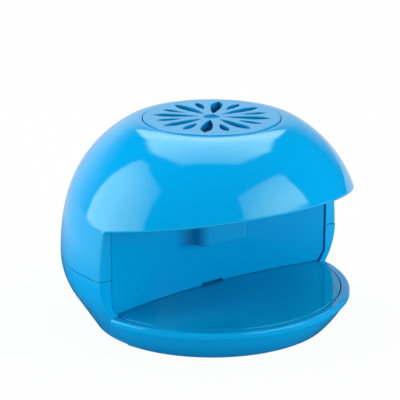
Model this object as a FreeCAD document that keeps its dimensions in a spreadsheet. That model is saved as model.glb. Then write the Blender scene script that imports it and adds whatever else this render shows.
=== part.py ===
"""Fan dryer for nail polish: a domed case with an open front, a fan under its
crown and a plate that the fingertips press to start the fan.

Frame: millimetres, +Z up, the open front faces -Y. The origin is on the dome's
axis, on the surface that the case stands on.
"""
import FreeCAD, Part
import math
import os
import re
import Sketcher

Vector = FreeCAD.Vector
Constraint = Sketcher.Constraint

# ---------------------------------------------------------------- driving sizes
# alias, value in mm or degrees, what it is
SIZES = (
    ("dome_radius", 60.0, "outer radius at the seam between the two shells"),
    ("dome_rise", 53.1, "height of the crown above the seam"),
    ("shoulder_arc", 15.0, "radius of the last arc before the flat crown"),
    ("side_sweep", 13.2, "angle that the dome's side arc turns through"),
    ("crown_sweep", 46.8, "angle that the dome's upper arc turns through"),
    ("seam_height", 28.4, "height of the seam above the table"),
    ("seam_gap", 0.35, "height of the groove under the seam"),
    ("seam_groove", 0.5, "depth of that groove"),
    ("shell_wall", 2.0, "wall of both shells"),
    ("bowl_arc", 27.25, "radius of the arc that the bowl's side starts with"),
    ("flank_angle", 33.0, "angle between the bowl's straight flank and the upright"),
    ("tray_proud", 0.5, "how far the tray's lower edge stands out from the bowl's"),
    ("tray_arc", 46.0, "radius of the arc that the tray's front is bowed to"),
    ("base_floor", 2.4, "thickness of the base's floor"),
    ("rim_height", 12.7, "top of the tray rim above the table"),
    ("rim_setback", 4.7, "how much smaller the tray rim's outer radius is than the dome's"),
    ("lip_width", 3.3, "width of the tray rim, seen from above"),
    ("rim_depth", 2.4, "height of the rim's lip"),
    ("rim_round", 1.0, "rounding of the lip's outer edge"),
    ("rim_step", 0.5, "how far the lip stands out over the tray's front"),
    ("well_depth", 4.5, "depth of the round recess that the plate moves in"),
    ("jamb_setback", 7.4, "how far in front of the dome's axis the opening starts"),
    ("jamb_return", 2.2, "thickness of the shell edges that frame the opening"),
    ("band_inset", 2.8, "width of that edge below the seam"),
    ("visor_height", 19.2, "height of the visor's edge above the seam at the jambs"),
    ("visor_slope", 11.3, "angle at which the visor's edge climbs to the front"),
    ("visor_corner", 1.5, "corner radius between jamb and visor"),
    ("edge_round", 0.7, "rounding of the shells' outer edge round the opening"),
    ("lining_inset", 6.4, "distance of the cavity's back wall from the dome's side"),
    ("lining_gap", 0.6, "gap between that wall and the shells"),
    ("lining_wall", 2.0, "thickness of that wall"),
    ("wall_bow", 230.0, "radius that the wall is bowed to"),
    ("wall_setback", 0.5, "how far in front of the axis the wall's middle stands"),
    ("wall_head", 24.0, "height of the wall's top above the seam"),
    ("wall_lift", 0.2, "gap between the plate and the wall above it"),
    ("notch_width", 10.7, "width of the notch in the wall's lower edge"),
    ("notch_height", 0.9, "height of that notch"),
    ("pod_half_width", 12.0, "half width of the motor housing on the wall"),
    ("pod_front", 10.0, "distance from the axis to the housing's front"),
    ("pod_base", 4.5, "height of the housing's underside above the seam"),
    ("pod_corner", 4.2, "rounding of the housing's front corners"),
    ("pod_cove", 4.5, "hollow radius where the housing meets the wall"),
    ("pod_wall", 1.6, "wall of the housing"),
    ("panel_recess", 1.0, "how far the outlet panel sits above the visor's edge"),
    ("panel_thickness", 1.8, "thickness of the outlet panel"),
    ("panel_gap", 0.3, "gap all round the outlet panel"),
    ("slot_width", 2.4, "width of an air slot"),
    ("slot_pitch", 4.8, "spacing of the air slots"),
    ("slot_reach", 34.0, "radius of the field of air slots"),
    ("slot_bar", 3.0, "width of the bar along the middle of the slots"),
    ("panel_post_inset", 22.0, "distance of the panel's side screws from the dome's side"),
    ("panel_post_setback", 14.0, "how far forward those screws are"),
    ("panel_post_margin", 15.0, "distance of the panel's front screw from the dome's side"),
    ("grille_radius", 26.9, "radius of the grille disc"),
    ("grille_gap", 0.25, "gap round the grille disc"),
    ("grille_thickness", 2.0, "depth of the grille disc's seat in the crown"),
    ("grille_proud", 0.4, "how far the grille disc stands up out of the crown"),
    ("grille_round", 0.4, "rounding of the grille's edge and of the crown round it"),
    ("long_petal_start", 4.7, "radius where a long slot starts"),
    ("long_petal_end", 23.5, "radius where a long slot ends"),
    ("long_petal_belly", 17.6, "radius where a long slot is widest"),
    ("long_petal_width", 4.6, "widest part of a long slot"),
    ("short_petal_start", 11.7, "radius where a short slot starts"),
    ("short_petal_end", 22.2, "radius where a short slot ends"),
    ("short_petal_belly", 18.6, "radius where a short slot is widest"),
    ("short_petal_width", 3.2, "widest part of a short slot"),
    ("dimple_radius", 3.2, "radius of the dimple in the grille's middle"),
    ("dimple_depth", 0.8, "depth of that dimple"),
    ("fan_radius", 23.6, "tip radius of the fan"),
    ("fan_clearance", 1.2, "gap between the fan's tips and the duct"),
    ("fan_height", 36.0, "height of the fan hub's underside above the seam"),
    ("hub_radius", 6.5, "radius of the fan's hub"),
    ("hub_length", 9.0, "length of the fan's hub"),
    ("blade_pitch", 30.0, "pitch of a fan blade"),
    ("blade_chord", 13.0, "chord of a fan blade"),
    ("blade_thickness", 1.3, "thickness of a fan blade"),
    ("duct_ledge", 1.8, "how far the duct's wall reaches past the grille's groove"),
    ("motor_base", 6.6, "height of the motor's underside above the seam"),
    ("can_radius", 10.05, "radius of the motor can's round sides"),
    ("can_half_depth", 7.55, "half the motor can's depth between its flats"),
    ("can_wall", 0.8, "wall of the motor can"),
    ("can_length", 21.5, "length of the motor can"),
    ("cap_length", 3.5, "thickness of the motor's end cap"),
    ("motor_boss_radius", 3.05, "radius of the boss round the motor's shaft"),
    ("motor_boss_height", 1.6, "height of that boss"),
    ("shaft_radius", 1.0, "radius of the motor shaft"),
    ("shaft_fit", 0.05, "running clearance round a shaft, on the radius"),
    ("armature_radius", 5.6, "radius of the motor's armature"),
    ("armature_length", 11.0, "length of the armature"),
    ("winding_root", 2.8, "radius of the bottom of the slots between its windings"),
    ("winding_gap", 1.4, "width of those slots"),
    ("magnet_gap", 0.5, "gap between the armature and the magnets"),
    ("frame_thickness", 1.8, "thickness of the motor frame's plate and spokes"),
    ("frame_radius", 34.0, "distance from the axis to the frame's screws"),
    ("frame_ring", 29.0, "middle radius of the frame's ring"),
    ("frame_bar", 4.0, "width of the frame's ring and spokes"),
    ("frame_grip", 7.0, "how far the frame's cup reaches down the motor"),
    ("frame_fit", 0.2, "gap between the cup and the motor"),
    ("post_radius", 3.0, "radius of a screw post in the top shell"),
    ("case_inset", 19.0, "distance of a case screw from the dome's side at the seam"),
    ("case_back", 3.5, "how far behind the axis those two screws are"),
    ("case_boss_radius", 4.0, "radius of a case screw's boss in the base"),
    ("screw_radius", 1.4, "shank radius of a case screw"),
    ("screw_head_radius", 2.6, "head radius of a case screw"),
    ("screw_head_height", 1.8, "head height of a case screw"),
    ("screw_seat", 16.0, "height of the case screws' seat above the table"),
    ("screw_length", 20.0, "shank length of a case screw"),
    ("screw_fit", 0.1, "gap round a screw shank, on the radius"),
    ("small_screw_radius", 0.9, "shank radius of a small screw"),
    ("small_head_radius", 1.9, "head radius of a small screw"),
    ("small_head_height", 1.3, "head height of a small screw"),
    ("small_screw_length", 6.0, "shank length of a small screw"),
    ("plate_gap", 0.4, "gap between the plate and the tray rim"),
    ("plate_proud", 0.3, "how far the plate stands above the rim"),
    ("plate_thickness", 2.0, "thickness of the plate"),
    ("plate_chamfer", 1.0, "chamfer round the plate's lower edge"),
    ("plate_round", 0.4, "rounding of the plate's upper edge"),
    ("plate_half_tail", 32.0, "half width of the plate's tail behind the wall"),
    ("plate_shoulder", 1.2, "how far in front of the axis the plate's sides end"),
    ("plate_tail", 2.0, "how far behind the axis the tail ends"),
    ("pin_forward", 0.5, "how far in front of the axis the hinge pin is"),
    ("pin_height", 7.4, "height of the hinge pin above the table"),
    ("pin_radius", 1.0, "radius of the hinge pin"),
    ("pin_fit", 0.06, "running clearance round the hinge pin, on the radius"),
    ("ear_radius", 2.2, "radius of the hinge ears and posts"),
    ("ear_place", 20.0, "sideways place of the inner face of a hinge ear"),
    ("ear_width", 3.6, "width of a hinge ear"),
    ("ear_gap", 0.4, "gap between an ear and its post"),
    ("ear_post_width", 3.0, "width of a hinge post"),
    ("spring_side", 20.0, "sideways place of a plate spring"),
    ("spring_forward", 34.0, "how far forward the plate springs are"),
    ("spring_radius", 3.0, "mean radius of a plate spring"),
    ("spring_wire", 0.35, "wire radius of a plate spring"),
    ("spring_turns", 4.0, "turns of a plate spring"),
    ("spring_seat", 1.8, "radius of the peg inside a spring"),
    ("switch_forward", 25.0, "how far forward the switch is"),
    ("board_half_length", 12.0, "half length of the switch's board"),
    ("board_half_width", 8.0, "half width of that board"),
    ("board_lift", 0.8, "height of the board above the floor"),
    ("board_thickness", 1.2, "thickness of the board"),
    ("switch_half", 3.1, "half width of the switch's body"),
    ("switch_height", 3.6, "height of the switch's body"),
    ("plunger_radius", 1.7, "radius of the switch's plunger"),
    ("plunger_fit", 0.06, "running clearance round the plunger, on the radius"),
    ("plunger_gap", 0.3, "gap between the plunger and the plate at rest"),
    ("plunger_length", 4.4, "length of the plunger"),
    ("plunger_travel", 1.3, "depth left free under the plunger"),
    ("cell_radius", 7.25, "radius of a battery cell"),
    ("cell_length", 50.5, "length of a battery cell with its nub"),
    ("nub_radius", 2.75, "radius of a cell's nub"),
    ("nub_length", 1.3, "length of a cell's nub"),
    ("cell_gap", 0.45, "gap round a battery cell"),
    ("contact_room", 2.8, "room for a contact at each end of the battery bay"),
    ("contact_sheet", 0.4, "thickness of a contact's sheet metal"),
    ("contact_half", 5.5, "half width of a contact's sheet"),
    ("contact_wire", 0.3, "wire radius of a contact spring"),
    ("contact_coil", 3.0, "mean radius of a contact spring"),
    ("contact_turns", 4.0, "turns of a contact spring"),
    ("tab_width", 3.0, "width of a contact's solder tab"),
    ("tab_reach", 3.6, "how far a solder tab reaches out of the bay"),
    ("tab_rise", 2.2, "height of a solder tab above its cell's axis"),
    ("bay_front", 4.2, "how far behind the axis the battery bay starts"),
    ("bay_rib", 1.4, "wall of the battery bay"),
    ("door_gap", 0.4, "gap round the battery door"),
    ("door_recess", 0.3, "how far the door lies above the table"),
    ("door_thickness", 1.8, "thickness of the battery door"),
    ("peg_radius", 0.6, "radius of the door's hinge pegs"),
    ("peg_reach", 1.4, "length of a hinge peg past the door's side"),
    ("peg_fit", 0.05, "running clearance round a hinge peg, on the radius"),
    ("grip_pitch", 2.4, "spacing of the door's grip ridges"),
    ("grip_length", 12.0, "length of a grip ridge"),
    ("grip_height", 0.25, "height of a grip ridge"),
    ("lead_radius", 0.6, "radius of an insulated lead"),
    ("lead_lift", 0.35, "gap between a lead and what it lies on"),
)
BLADES = 5
PETALS = 8
SPOKES = 3
SPIDER_TURN = 30
WINDINGS = 3
GRIP_RIDGES = 4

doc = FreeCAD.newDocument("nail_dryer")
sheet = doc.addObject("Spreadsheet::Sheet", "sizes")
for row, (alias, number, note) in enumerate(SIZES, start=1):
    sheet.set(f"A{row}", alias)
    sheet.set(f"B{row}", str(number))
    sheet.set(f"C{row}", note)
    sheet.setAlias(f"B{row}", alias)
doc.recompute()

SIZE = {alias: float(sheet.get(alias)) for alias, _, _ in SIZES}
ALIASES = re.compile(r"\b(" + "|".join(sorted(SIZE, key=len, reverse=True)) + r")\b")

# ------------------------------------------------- places worked out from sizes
SEAM = "seam_height"
CROWN = "(seam_height + dome_rise)"
GRILLE_TOP = "(seam_height + dome_rise + grille_proud)"
VISOR = "(seam_height + visor_height)"
CROWN_FLAT = "(grille_radius + grille_gap)"
RIM_OUTER = "(dome_radius - rim_setback)"
RIM_INNER = "(dome_radius - rim_setback - lip_width)"
LEAN = "(flank_angle * 1 deg)"
FOOT = f"(dome_radius - bowl_arc + bowl_arc / cos({LEAN}) - seam_height * tan({LEAN}))"
LINING_HALF = "(dome_radius - lining_inset)"
CASE_PLACE = "(dome_radius - case_inset)"
PANEL_SIDE = "(dome_radius - panel_post_inset)"
PANEL_FRONT = "(dome_radius - panel_post_margin)"
WALL_CENTRE = "(-wall_setback - wall_bow)"
POD_BOTTOM = "(seam_height + pod_base)"
WALL_TOP = "(seam_height + wall_head)"
PLATE_TOP = "(rim_height + plate_proud)"
PLATE_BOTTOM = "(rim_height + plate_proud - plate_thickness)"
WALL_FOOT = "(rim_height + plate_proud + wall_lift)"
DUCT_BORE = "(fan_radius + fan_clearance)"
DUCT_OUTER = "(grille_radius + grille_gap + duct_ledge)"
FAN_BOTTOM = "(seam_height + fan_height)"
MOTOR_BOTTOM = "(seam_height + motor_base)"
CAN_BOTTOM = "(seam_height + motor_base + cap_length)"
CAN_TOP = "(seam_height + motor_base + cap_length + can_length)"
FRAME_TOP = "(seam_height + motor_base + cap_length + can_length + frame_thickness)"
BAY_HALF = "(cell_length / 2 + contact_room)"
BAY_REAR = "(bay_front + 4 * cell_radius + 3 * cell_gap)"
BAY_TOP = "(base_floor + 2 * cell_radius + 2 * cell_gap)"
CELL_Z = "(base_floor + cell_gap + cell_radius)"
FRONT_CELL = "(bay_front + cell_gap + cell_radius)"
REAR_CELL = "(bay_front + 2 * cell_gap + 3 * cell_radius)"
DOOR_AXIS_Y = "(bay_front + door_gap + door_thickness / 2)"
DOOR_AXIS_Z = "(door_recess + door_thickness / 2)"
BOARD_BOTTOM = "(base_floor + board_lift)"
BOARD_TOP = "(base_floor + board_lift + board_thickness)"
PLUNGER_TOP = f"({PLATE_BOTTOM} - plunger_gap)"
SMALL_HOLE = "(small_screw_radius + screw_fit)"
FAR = "(2 * dome_radius)"
AXIS_X = Vector(1, 0, 0)
AXIS_Y = Vector(0, 1, 0)
AXIS_Z = Vector(0, 0, 1)

NODES = {}


# ----------------------------------------------------------------- small helpers
def cells(text):
    """Point every size named in an expression at its cell of the sheet."""
    return ALIASES.sub(r"sizes.\1", str(text))


def bind(obj, **properties):
    """Bind properties; a double underscore in a name stands for a dot."""
    for name, text in properties.items():
        obj.setExpression(name.replace("__", "."), cells(text))
    return obj


def place(obj, x="0", y="0", z="0", axis=None, angle=None):
    """Bind an object's place, and its turn about one axis."""
    if axis is not None:
        obj.Placement = FreeCAD.Placement(Vector(), FreeCAD.Rotation(axis, 10))
        bind(obj, Placement__Rotation__Angle=angle)
    return bind(obj, Placement__Base__x=x, Placement__Base__y=y, Placement__Base__z=z)


def box(name, x0, x1, y0, y1, z0, z1):
    """A box between six expressions."""
    obj = doc.addObject("Part::Box", name)
    bind(obj, Length=f"({x1}) - ({x0})", Width=f"({y1}) - ({y0})", Height=f"({z1}) - ({z0})")
    return place(obj, x0, y0, z0)


def cylinder(name, radius, z0, z1, x="0", y="0"):
    """An upright cylinder."""
    obj = doc.addObject("Part::Cylinder", name)
    bind(obj, Radius=radius, Height=f"({z1}) - ({z0})")
    return place(obj, x, y, z0)


def rod(name, radius, x0, x1, y, z):
    """A cylinder along X."""
    obj = doc.addObject("Part::Cylinder", name)
    bind(obj, Radius=radius, Height=f"({x1}) - ({x0})")
    return place(obj, x0, y, z, AXIS_Y, "90")


def fuse(name, *parts):
    obj = doc.addObject("Part::MultiFuse", name)
    obj.Shapes = list(parts)
    obj.Refine = True
    return obj


def common(name, *parts):
    obj = doc.addObject("Part::MultiCommon", name)
    obj.Shapes = list(parts)
    return obj


def cut(name, base, *tools):
    """The base less every tool."""
    tool = tools[0] if len(tools) == 1 else fuse(name + "_tools", *tools)
    obj = doc.addObject("Part::Cut", name)
    obj.Base = base
    obj.Tool = tool
    obj.Refine = True
    return obj


def ring(name, outer, inner, z0, z1, x="0", y="0"):
    """An upright tube."""
    hole = cylinder(name + "_hole", inner, f"{z0} - 1", f"{z1} + 1", x, y)
    return cut(name, cylinder(name + "_disc", outer, z0, z1, x, y), hole)


def group(name, parts):
    """Separate like solids held in one object."""
    obj = doc.addObject("Part::Compound", name)
    obj.Links = parts
    return obj


def round_edges(name, base, radius, chosen):
    """Round the edges of a base that a test picks out."""
    doc.recompute()
    edges = [n for n, edge in enumerate(base.Shape.Edges, start=1) if chosen(edge)]
    obj = doc.addObject("Part::Fillet", name)
    obj.Base = base
    obj.Edges = [(n, SIZE[radius], SIZE[radius]) for n in edges]
    return obj


def upright(edge):
    """Whether an edge is a straight vertical line."""
    ends = [vertex.Point for vertex in edge.Vertexes]
    return len(ends) == 2 and (ends[1] - ends[0]).cross(Vector(0, 0, 1)).Length < 1e-6


def node(label, obj):
    """Name a finished piece and keep it for export."""
    obj.Label = label
    NODES[label] = obj
    return obj


def new_body(name):
    return doc.addObject("PartDesign::Body", name)


def sketch_on(body, name, role, lift="0"):
    """A sketch on one of the body's own planes, lifted along its normal."""
    sketch = body.newObject("Sketcher::SketchObject", name)
    plane = next(item for item in body.Origin.OriginFeatures if item.Role == role)
    sketch.AttachmentSupport = [(plane, "")]
    sketch.MapMode = "FlatFace"
    bind(sketch, AttachmentOffset__Base__z=lift)
    return sketch


def dimension(sketch, constraint, text):
    """Add a constraint whose value follows an expression."""
    index = sketch.addConstraint(constraint)
    sketch.setExpression(f"Constraints[{index}]", cells(text))


def arc(centre, radius, start, end):
    return Part.ArcOfCircle(Part.Circle(centre, Vector(0, 0, 1), radius), start, end)


def circle_sketch(body, name, radius, start, lift):
    """A circle about the sketch's origin, with its radius bound."""
    sketch = sketch_on(body, name, "XY_Plane", lift)
    sketch.addGeometry(Part.Circle(Vector(), Vector(0, 0, 1), start), False)
    sketch.addConstraint(Constraint("Coincident", 0, 3, -1, 1))
    dimension(sketch, Constraint("Radius", 0, start), radius)
    return sketch


def turned_about_axis(body, sketch, name):
    """Turn a profile full circle about the dome's axis."""
    turned = body.newObject("PartDesign::Revolution", name + "_turned")
    turned.Profile = sketch
    turned.ReferenceAxis = (sketch, ["V_Axis"])
    turned.Angle = 360
    return body


# ------------------------------------------------------------- the case's forms
def dome_form(name, inset):
    """The dome as a solid above the seam, drawn inset from its outer skin.

    Its side is three tangent arcs: two with a set sweep, then the shoulder arc,
    which runs out level at the edge of the flat crown.
    """
    inset_value = sum(SIZE[word] for word in ALIASES.findall(inset))
    radius = SIZE["dome_radius"] - inset_value
    rise = SIZE["dome_rise"] - inset_value
    shoulder = SIZE["shoulder_arc"] - inset_value
    flat = SIZE["grille_radius"] + SIZE["grille_gap"]
    low = math.radians(SIZE["side_sweep"])
    high = low + math.radians(SIZE["crown_sweep"])
    across = (1 - math.cos(low), math.cos(low) - math.cos(high))
    up = (math.sin(low), math.sin(high) - math.sin(low))
    width = radius - flat - shoulder * math.cos(high)
    height = rise - shoulder * (1 - math.sin(high))
    spread = across[0] * up[1] - across[1] * up[0]
    side = (width * up[1] - across[1] * height) / spread
    upper = (across[0] * height - width * up[0]) / spread

    seam = SIZE["seam_height"]
    outward = [Vector(math.cos(turn), math.sin(turn), 0) for turn in (low, high)]
    side_centre = Vector(radius - side, seam, 0)
    upper_centre = side_centre + outward[0] * (side - upper)
    shoulder_centre = upper_centre + outward[1] * (upper - shoulder)
    corners = [Vector(0, seam, 0), Vector(radius, seam, 0)]
    corners += [Vector(flat, seam + rise, 0), Vector(0, seam + rise, 0)]

    body = new_body(name)
    sketch = sketch_on(body, name + "_profile", "XZ_Plane")
    sketch.addGeometry([
        Part.LineSegment(corners[0], corners[1]),
        arc(side_centre, side, 0, low),
        arc(upper_centre, upper, low, high),
        arc(shoulder_centre, shoulder, high, math.pi / 2),
        Part.LineSegment(corners[2], corners[3]),
        Part.LineSegment(corners[3], corners[0]),
    ], False)
    sketch.addConstraint([
        Constraint("Coincident", 0, 2, 1, 1),
        Constraint("Tangent", 1, 2, 2, 1),
        Constraint("Tangent", 2, 2, 3, 1),
        Constraint("Tangent", 3, 2, 4, 1),
        Constraint("Coincident", 4, 2, 5, 1),
        Constraint("Coincident", 5, 2, 0, 1),
        Constraint("Horizontal", 0),
        Constraint("Horizontal", 4),
        Constraint("Vertical", 5),
        Constraint("PointOnObject", 0, 1, -2),
        Constraint("PointOnObject", 1, 3, 0),
    ])
    dimension(sketch, Constraint("DistanceY", -1, 1, 0, 1, seam), SEAM)
    dimension(sketch, Constraint("DistanceX", 0, 1, 0, 2, radius), f"dome_radius - ({inset})")
    dimension(sketch, Constraint("DistanceY", 0, 1, 4, 2, rise), f"dome_rise - ({inset})")
    dimension(sketch, Constraint("DistanceX", 4, 2, 4, 1, flat), CROWN_FLAT)
    dimension(sketch, Constraint("Radius", 3, shoulder), f"shoulder_arc - ({inset})")
    dimension(sketch, Constraint("Angle", 1, low), "side_sweep * 1 deg")
    dimension(sketch, Constraint("Angle", 2, high - low), "crown_sweep * 1 deg")
    return turned_about_axis(body, sketch, name)


def bowl_form(name, inset):
    """The bowl as a solid from the table to the seam, drawn inset from its outer skin.

    Its side leaves the seam upright in one arc and runs on in a straight flank.
    """
    inset_value = sum(SIZE[word] for word in ALIASES.findall(inset))
    radius = SIZE["dome_radius"] - inset_value
    side = SIZE["bowl_arc"] - inset_value
    seam = SIZE["seam_height"]
    turn = math.radians(SIZE["flank_angle"])
    centre = Vector(radius - side, seam, 0)
    waist = centre + Vector(side * math.cos(turn), -side * math.sin(turn), 0)
    foot = Vector(waist.x - waist.y * math.tan(turn), 0, 0)
    corners = [Vector(), foot, Vector(radius, seam, 0), Vector(0, seam, 0)]

    body = new_body(name)
    sketch = sketch_on(body, name + "_profile", "XZ_Plane")
    sketch.addGeometry([
        Part.LineSegment(corners[0], corners[1]),
        Part.LineSegment(corners[1], waist),
        arc(centre, side, 2 * math.pi - turn, 2 * math.pi),
        Part.LineSegment(corners[2], corners[3]),
        Part.LineSegment(corners[3], corners[0]),
    ], False)
    sketch.addConstraint([
        Constraint("Coincident", 0, 1, -1, 1),
        Constraint("Coincident", 0, 2, 1, 1),
        Constraint("Tangent", 1, 2, 2, 1),
        Constraint("Coincident", 2, 2, 3, 1),
        Constraint("Coincident", 3, 2, 4, 1),
        Constraint("Coincident", 4, 2, 0, 1),
        Constraint("Horizontal", 0),
        Constraint("Horizontal", 3),
        Constraint("Vertical", 4),
        Constraint("PointOnObject", 2, 3, 3),
    ])
    dimension(sketch, Constraint("DistanceY", 0, 1, 4, 1, seam), SEAM)
    dimension(sketch, Constraint("DistanceX", 3, 2, 3, 1, radius), f"dome_radius - ({inset})")
    dimension(sketch, Constraint("Radius", 2, side), f"bowl_arc - ({inset})")
    dimension(sketch, Constraint("Angle", 2, turn), "flank_angle * 1 deg")
    return turned_about_axis(body, sketch, name)


def tray_form():
    """The tray's front as a ring: a rounded lip that steps in to a bowed wall."""
    outer = SIZE["dome_radius"] - SIZE["rim_setback"]
    inner = outer - SIZE["lip_width"] - SIZE["shell_wall"] / 2
    top = SIZE["rim_height"]
    under = top - SIZE["rim_depth"]
    corner = SIZE["rim_round"]
    wall = SIZE["shell_wall"] / 2
    head = Vector(outer - SIZE["rim_step"], under, 0)
    side = SIZE["bowl_arc"]
    lean = math.radians(SIZE["flank_angle"])
    bowl_foot = SIZE["dome_radius"] - side + side / math.cos(lean) - SIZE["seam_height"] * math.tan(lean)
    foot = Vector(bowl_foot + SIZE["tray_proud"], 0, 0)
    chord = head - foot
    sag = math.sqrt(SIZE["tray_arc"] ** 2 - (chord.Length / 2) ** 2)
    centre = (head + foot) * 0.5 + Vector(-chord.y, chord.x, 0).normalize() * sag
    start = math.atan2(foot.y - centre.y, foot.x - centre.x)
    end = math.atan2(head.y - centre.y, head.x - centre.x)

    body = new_body("tray")
    sketch = sketch_on(body, "tray_profile", "XZ_Plane")
    sketch.addGeometry([
        Part.LineSegment(Vector(inner, top, 0), Vector(outer - corner, top, 0)),
        arc(Vector(outer - corner, top - corner, 0), corner, 0, math.pi / 2),
        Part.LineSegment(Vector(outer, top - corner, 0), Vector(outer, under, 0)),
        Part.LineSegment(Vector(outer, under, 0), head),
        arc(centre, SIZE["tray_arc"], start, end),
        Part.LineSegment(foot, foot - Vector(wall, 0, 0)),
        Part.LineSegment(foot - Vector(wall, 0, 0), Vector(inner, under, 0)),
        Part.LineSegment(Vector(inner, under, 0), Vector(inner, top, 0)),
    ], False)
    sketch.addConstraint([
        Constraint("Tangent", 0, 2, 1, 2),
        Constraint("Tangent", 1, 1, 2, 1),
        Constraint("Coincident", 2, 2, 3, 1),
        Constraint("Coincident", 3, 2, 4, 2),
        Constraint("Coincident", 4, 1, 5, 1),
        Constraint("Coincident", 5, 2, 6, 1),
        Constraint("Coincident", 6, 2, 7, 1),
        Constraint("Coincident", 7, 2, 0, 1),
        Constraint("Horizontal", 0),
        Constraint("Vertical", 2),
        Constraint("Horizontal", 3),
        Constraint("Vertical", 7),
        Constraint("PointOnObject", 5, 1, -1),
        Constraint("PointOnObject", 5, 2, -1),
    ])
    dimension(sketch, Constraint("DistanceX", -1, 1, 0, 1, inner), f"{RIM_INNER} - shell_wall / 2")
    dimension(sketch, Constraint("DistanceX", -1, 1, 2, 1, outer), RIM_OUTER)
    dimension(sketch, Constraint("DistanceY", -1, 1, 0, 1, top), "rim_height")
    dimension(sketch, Constraint("Radius", 1, corner), "rim_round")
    dimension(sketch, Constraint("DistanceY", 3, 1, 0, 1, top - under), "rim_depth")
    dimension(sketch, Constraint("DistanceY", 7, 1, 7, 2, top - under), "rim_depth")
    dimension(sketch, Constraint("DistanceX", 3, 2, 3, 1, outer - head.x), "rim_step")
    dimension(sketch, Constraint("DistanceX", -1, 1, 5, 1, foot.x), f"{FOOT} + tray_proud")
    dimension(sketch, Constraint("DistanceX", 5, 2, 5, 1, wall), "shell_wall / 2")
    dimension(sketch, Constraint("Radius", 4, SIZE["tray_arc"]), "tray_arc")
    return turned_about_axis(body, sketch, "tray")


def visor_cut():
    """All that is taken out of the dome between the jambs and the visor's edge."""
    jamb = -SIZE["jamb_setback"]
    head = SIZE["seam_height"] + SIZE["visor_height"]
    slope = math.radians(SIZE["visor_slope"])
    corner = SIZE["visor_corner"]
    reach = -2 * SIZE["dome_radius"]
    turn = math.pi / 2 - slope
    back = corner * math.tan(turn / 2)
    start = Vector(jamb, head - back, 0)
    end = Vector(jamb - back * math.cos(slope), head + back * math.sin(slope), 0)
    front = Vector(reach, head + (jamb - reach) * math.tan(slope), 0)

    body = new_body("visor_cut")
    sketch = sketch_on(body, "visor_cut_side", "YZ_Plane")
    sketch.addGeometry([
        Part.LineSegment(Vector(jamb, 0, 0), start),
        arc(Vector(jamb - corner, head - back, 0), corner, 0, turn),
        Part.LineSegment(end, front),
        Part.LineSegment(front, Vector(reach, 0, 0)),
        Part.LineSegment(Vector(reach, 0, 0), Vector(jamb, 0, 0)),
        Part.Point(Vector(jamb, head, 0)),
    ], False)
    sketch.toggleConstruction(5)
    sketch.addConstraint([
        Constraint("Tangent", 0, 2, 1, 1),
        Constraint("Tangent", 1, 2, 2, 1),
        Constraint("Coincident", 2, 2, 3, 1),
        Constraint("Coincident", 3, 2, 4, 1),
        Constraint("Coincident", 4, 2, 0, 1),
        Constraint("Vertical", 0),
        Constraint("Vertical", 3),
        Constraint("PointOnObject", 0, 1, -1),
        Constraint("PointOnObject", 3, 2, -1),
        Constraint("PointOnObject", 5, 1, 0),
        Constraint("PointOnObject", 5, 1, 2),
    ])
    dimension(sketch, Constraint("DistanceX", 0, 1, -1, 1, -jamb), "jamb_setback")
    dimension(sketch, Constraint("DistanceX", 3, 2, -1, 1, -reach), FAR)
    dimension(sketch, Constraint("DistanceY", -1, 1, 5, 1, head), VISOR)
    dimension(sketch, Constraint("Radius", 1, corner), "visor_corner")
    dimension(sketch, Constraint("Angle", 1, turn), "(90 - visor_slope) * 1 deg")
    pad = body.newObject("PartDesign::Pad", "visor_cut_pad")
    pad.Profile = sketch
    pad.SideType = "Symmetric"
    bind(pad, Length=f"2 * {FAR}")
    return body


def sloped_box(name, lift, thickness):
    """A slab parallel to the visor's edge, its underside lifted above that edge."""
    obj = doc.addObject("Part::Box", name)
    bind(obj, Length=f"2 * {FAR}", Width=f"2 * {FAR}", Height=thickness)
    slope = "visor_slope * 1 deg"
    y = f"-jamb_setback - {FAR} * cos({slope})"
    z = f"{VISOR} + ({lift}) + {FAR} * sin({slope})"
    return place(obj, f"-{FAR}", y, z, AXIS_X, "-visor_slope")


BOWL_OUTSIDE = bowl_form("bowl_outside", "0")
BOWL_INSIDE = bowl_form("bowl_inside", "shell_wall")
BOWL_MIDDLE = bowl_form("bowl_middle", "shell_wall / 2")
BOWL_BAND = bowl_form("bowl_band", "band_inset")
BOWL_LINING = bowl_form("bowl_lining", "band_inset + lining_gap")
DOME_OUTSIDE = dome_form("dome_outside", "0")
DOME_INSIDE = dome_form("dome_inside", "shell_wall")
DOME_BAND = dome_form("dome_band", "band_inset")
DOME_PANEL = dome_form("dome_panel", "shell_wall + panel_gap")
CASE_SCREWS = (
    ("left", f"-{CASE_PLACE}", "case_back"),
    ("right", CASE_PLACE, "case_back"),
    ("rear", "0", CASE_PLACE),
)
PANEL_SCREWS = (
    ("left", f"-{PANEL_SIDE}", "-panel_post_setback"),
    ("right", PANEL_SIDE, "-panel_post_setback"),
    ("front", "0", f"-{PANEL_FRONT}"),
)
SIDES = (("left", -1), ("right", 1))


def frame_screw_places():
    """The three screws of the motor frame, evenly round the axis."""
    for count in range(SPOKES):
        turn = f"({SPIDER_TURN + 360 / SPOKES * count} * 1 deg)"
        yield count, f"frame_radius * cos({turn})", f"frame_radius * sin({turn})"


def along_both(first, second, height):
    """A test for the edges above a height that run along the surfaces of two forms."""
    doc.recompute()
    surfaces = [form.Shape.Shells[0] for form in (first, second)]

    def chosen(edge):
        middle = edge.valueAt((edge.FirstParameter + edge.LastParameter) / 2)
        near = [surface.distToShape(Part.Vertex(middle))[0] < 1e-3 for surface in surfaces]
        return middle.z > height + 1e-3 and all(near)

    return chosen


def full_circle(radius, height):
    """A test for the circle of a radius at a height."""
    def chosen(edge):
        if not isinstance(edge.Curve, Part.Circle):
            return False
        level = abs(edge.BoundBox.ZMin - height) < 1e-4 and abs(edge.BoundBox.ZMax - height) < 1e-4
        return level and abs(edge.Curve.Radius - radius) < 1e-4

    return chosen


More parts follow.
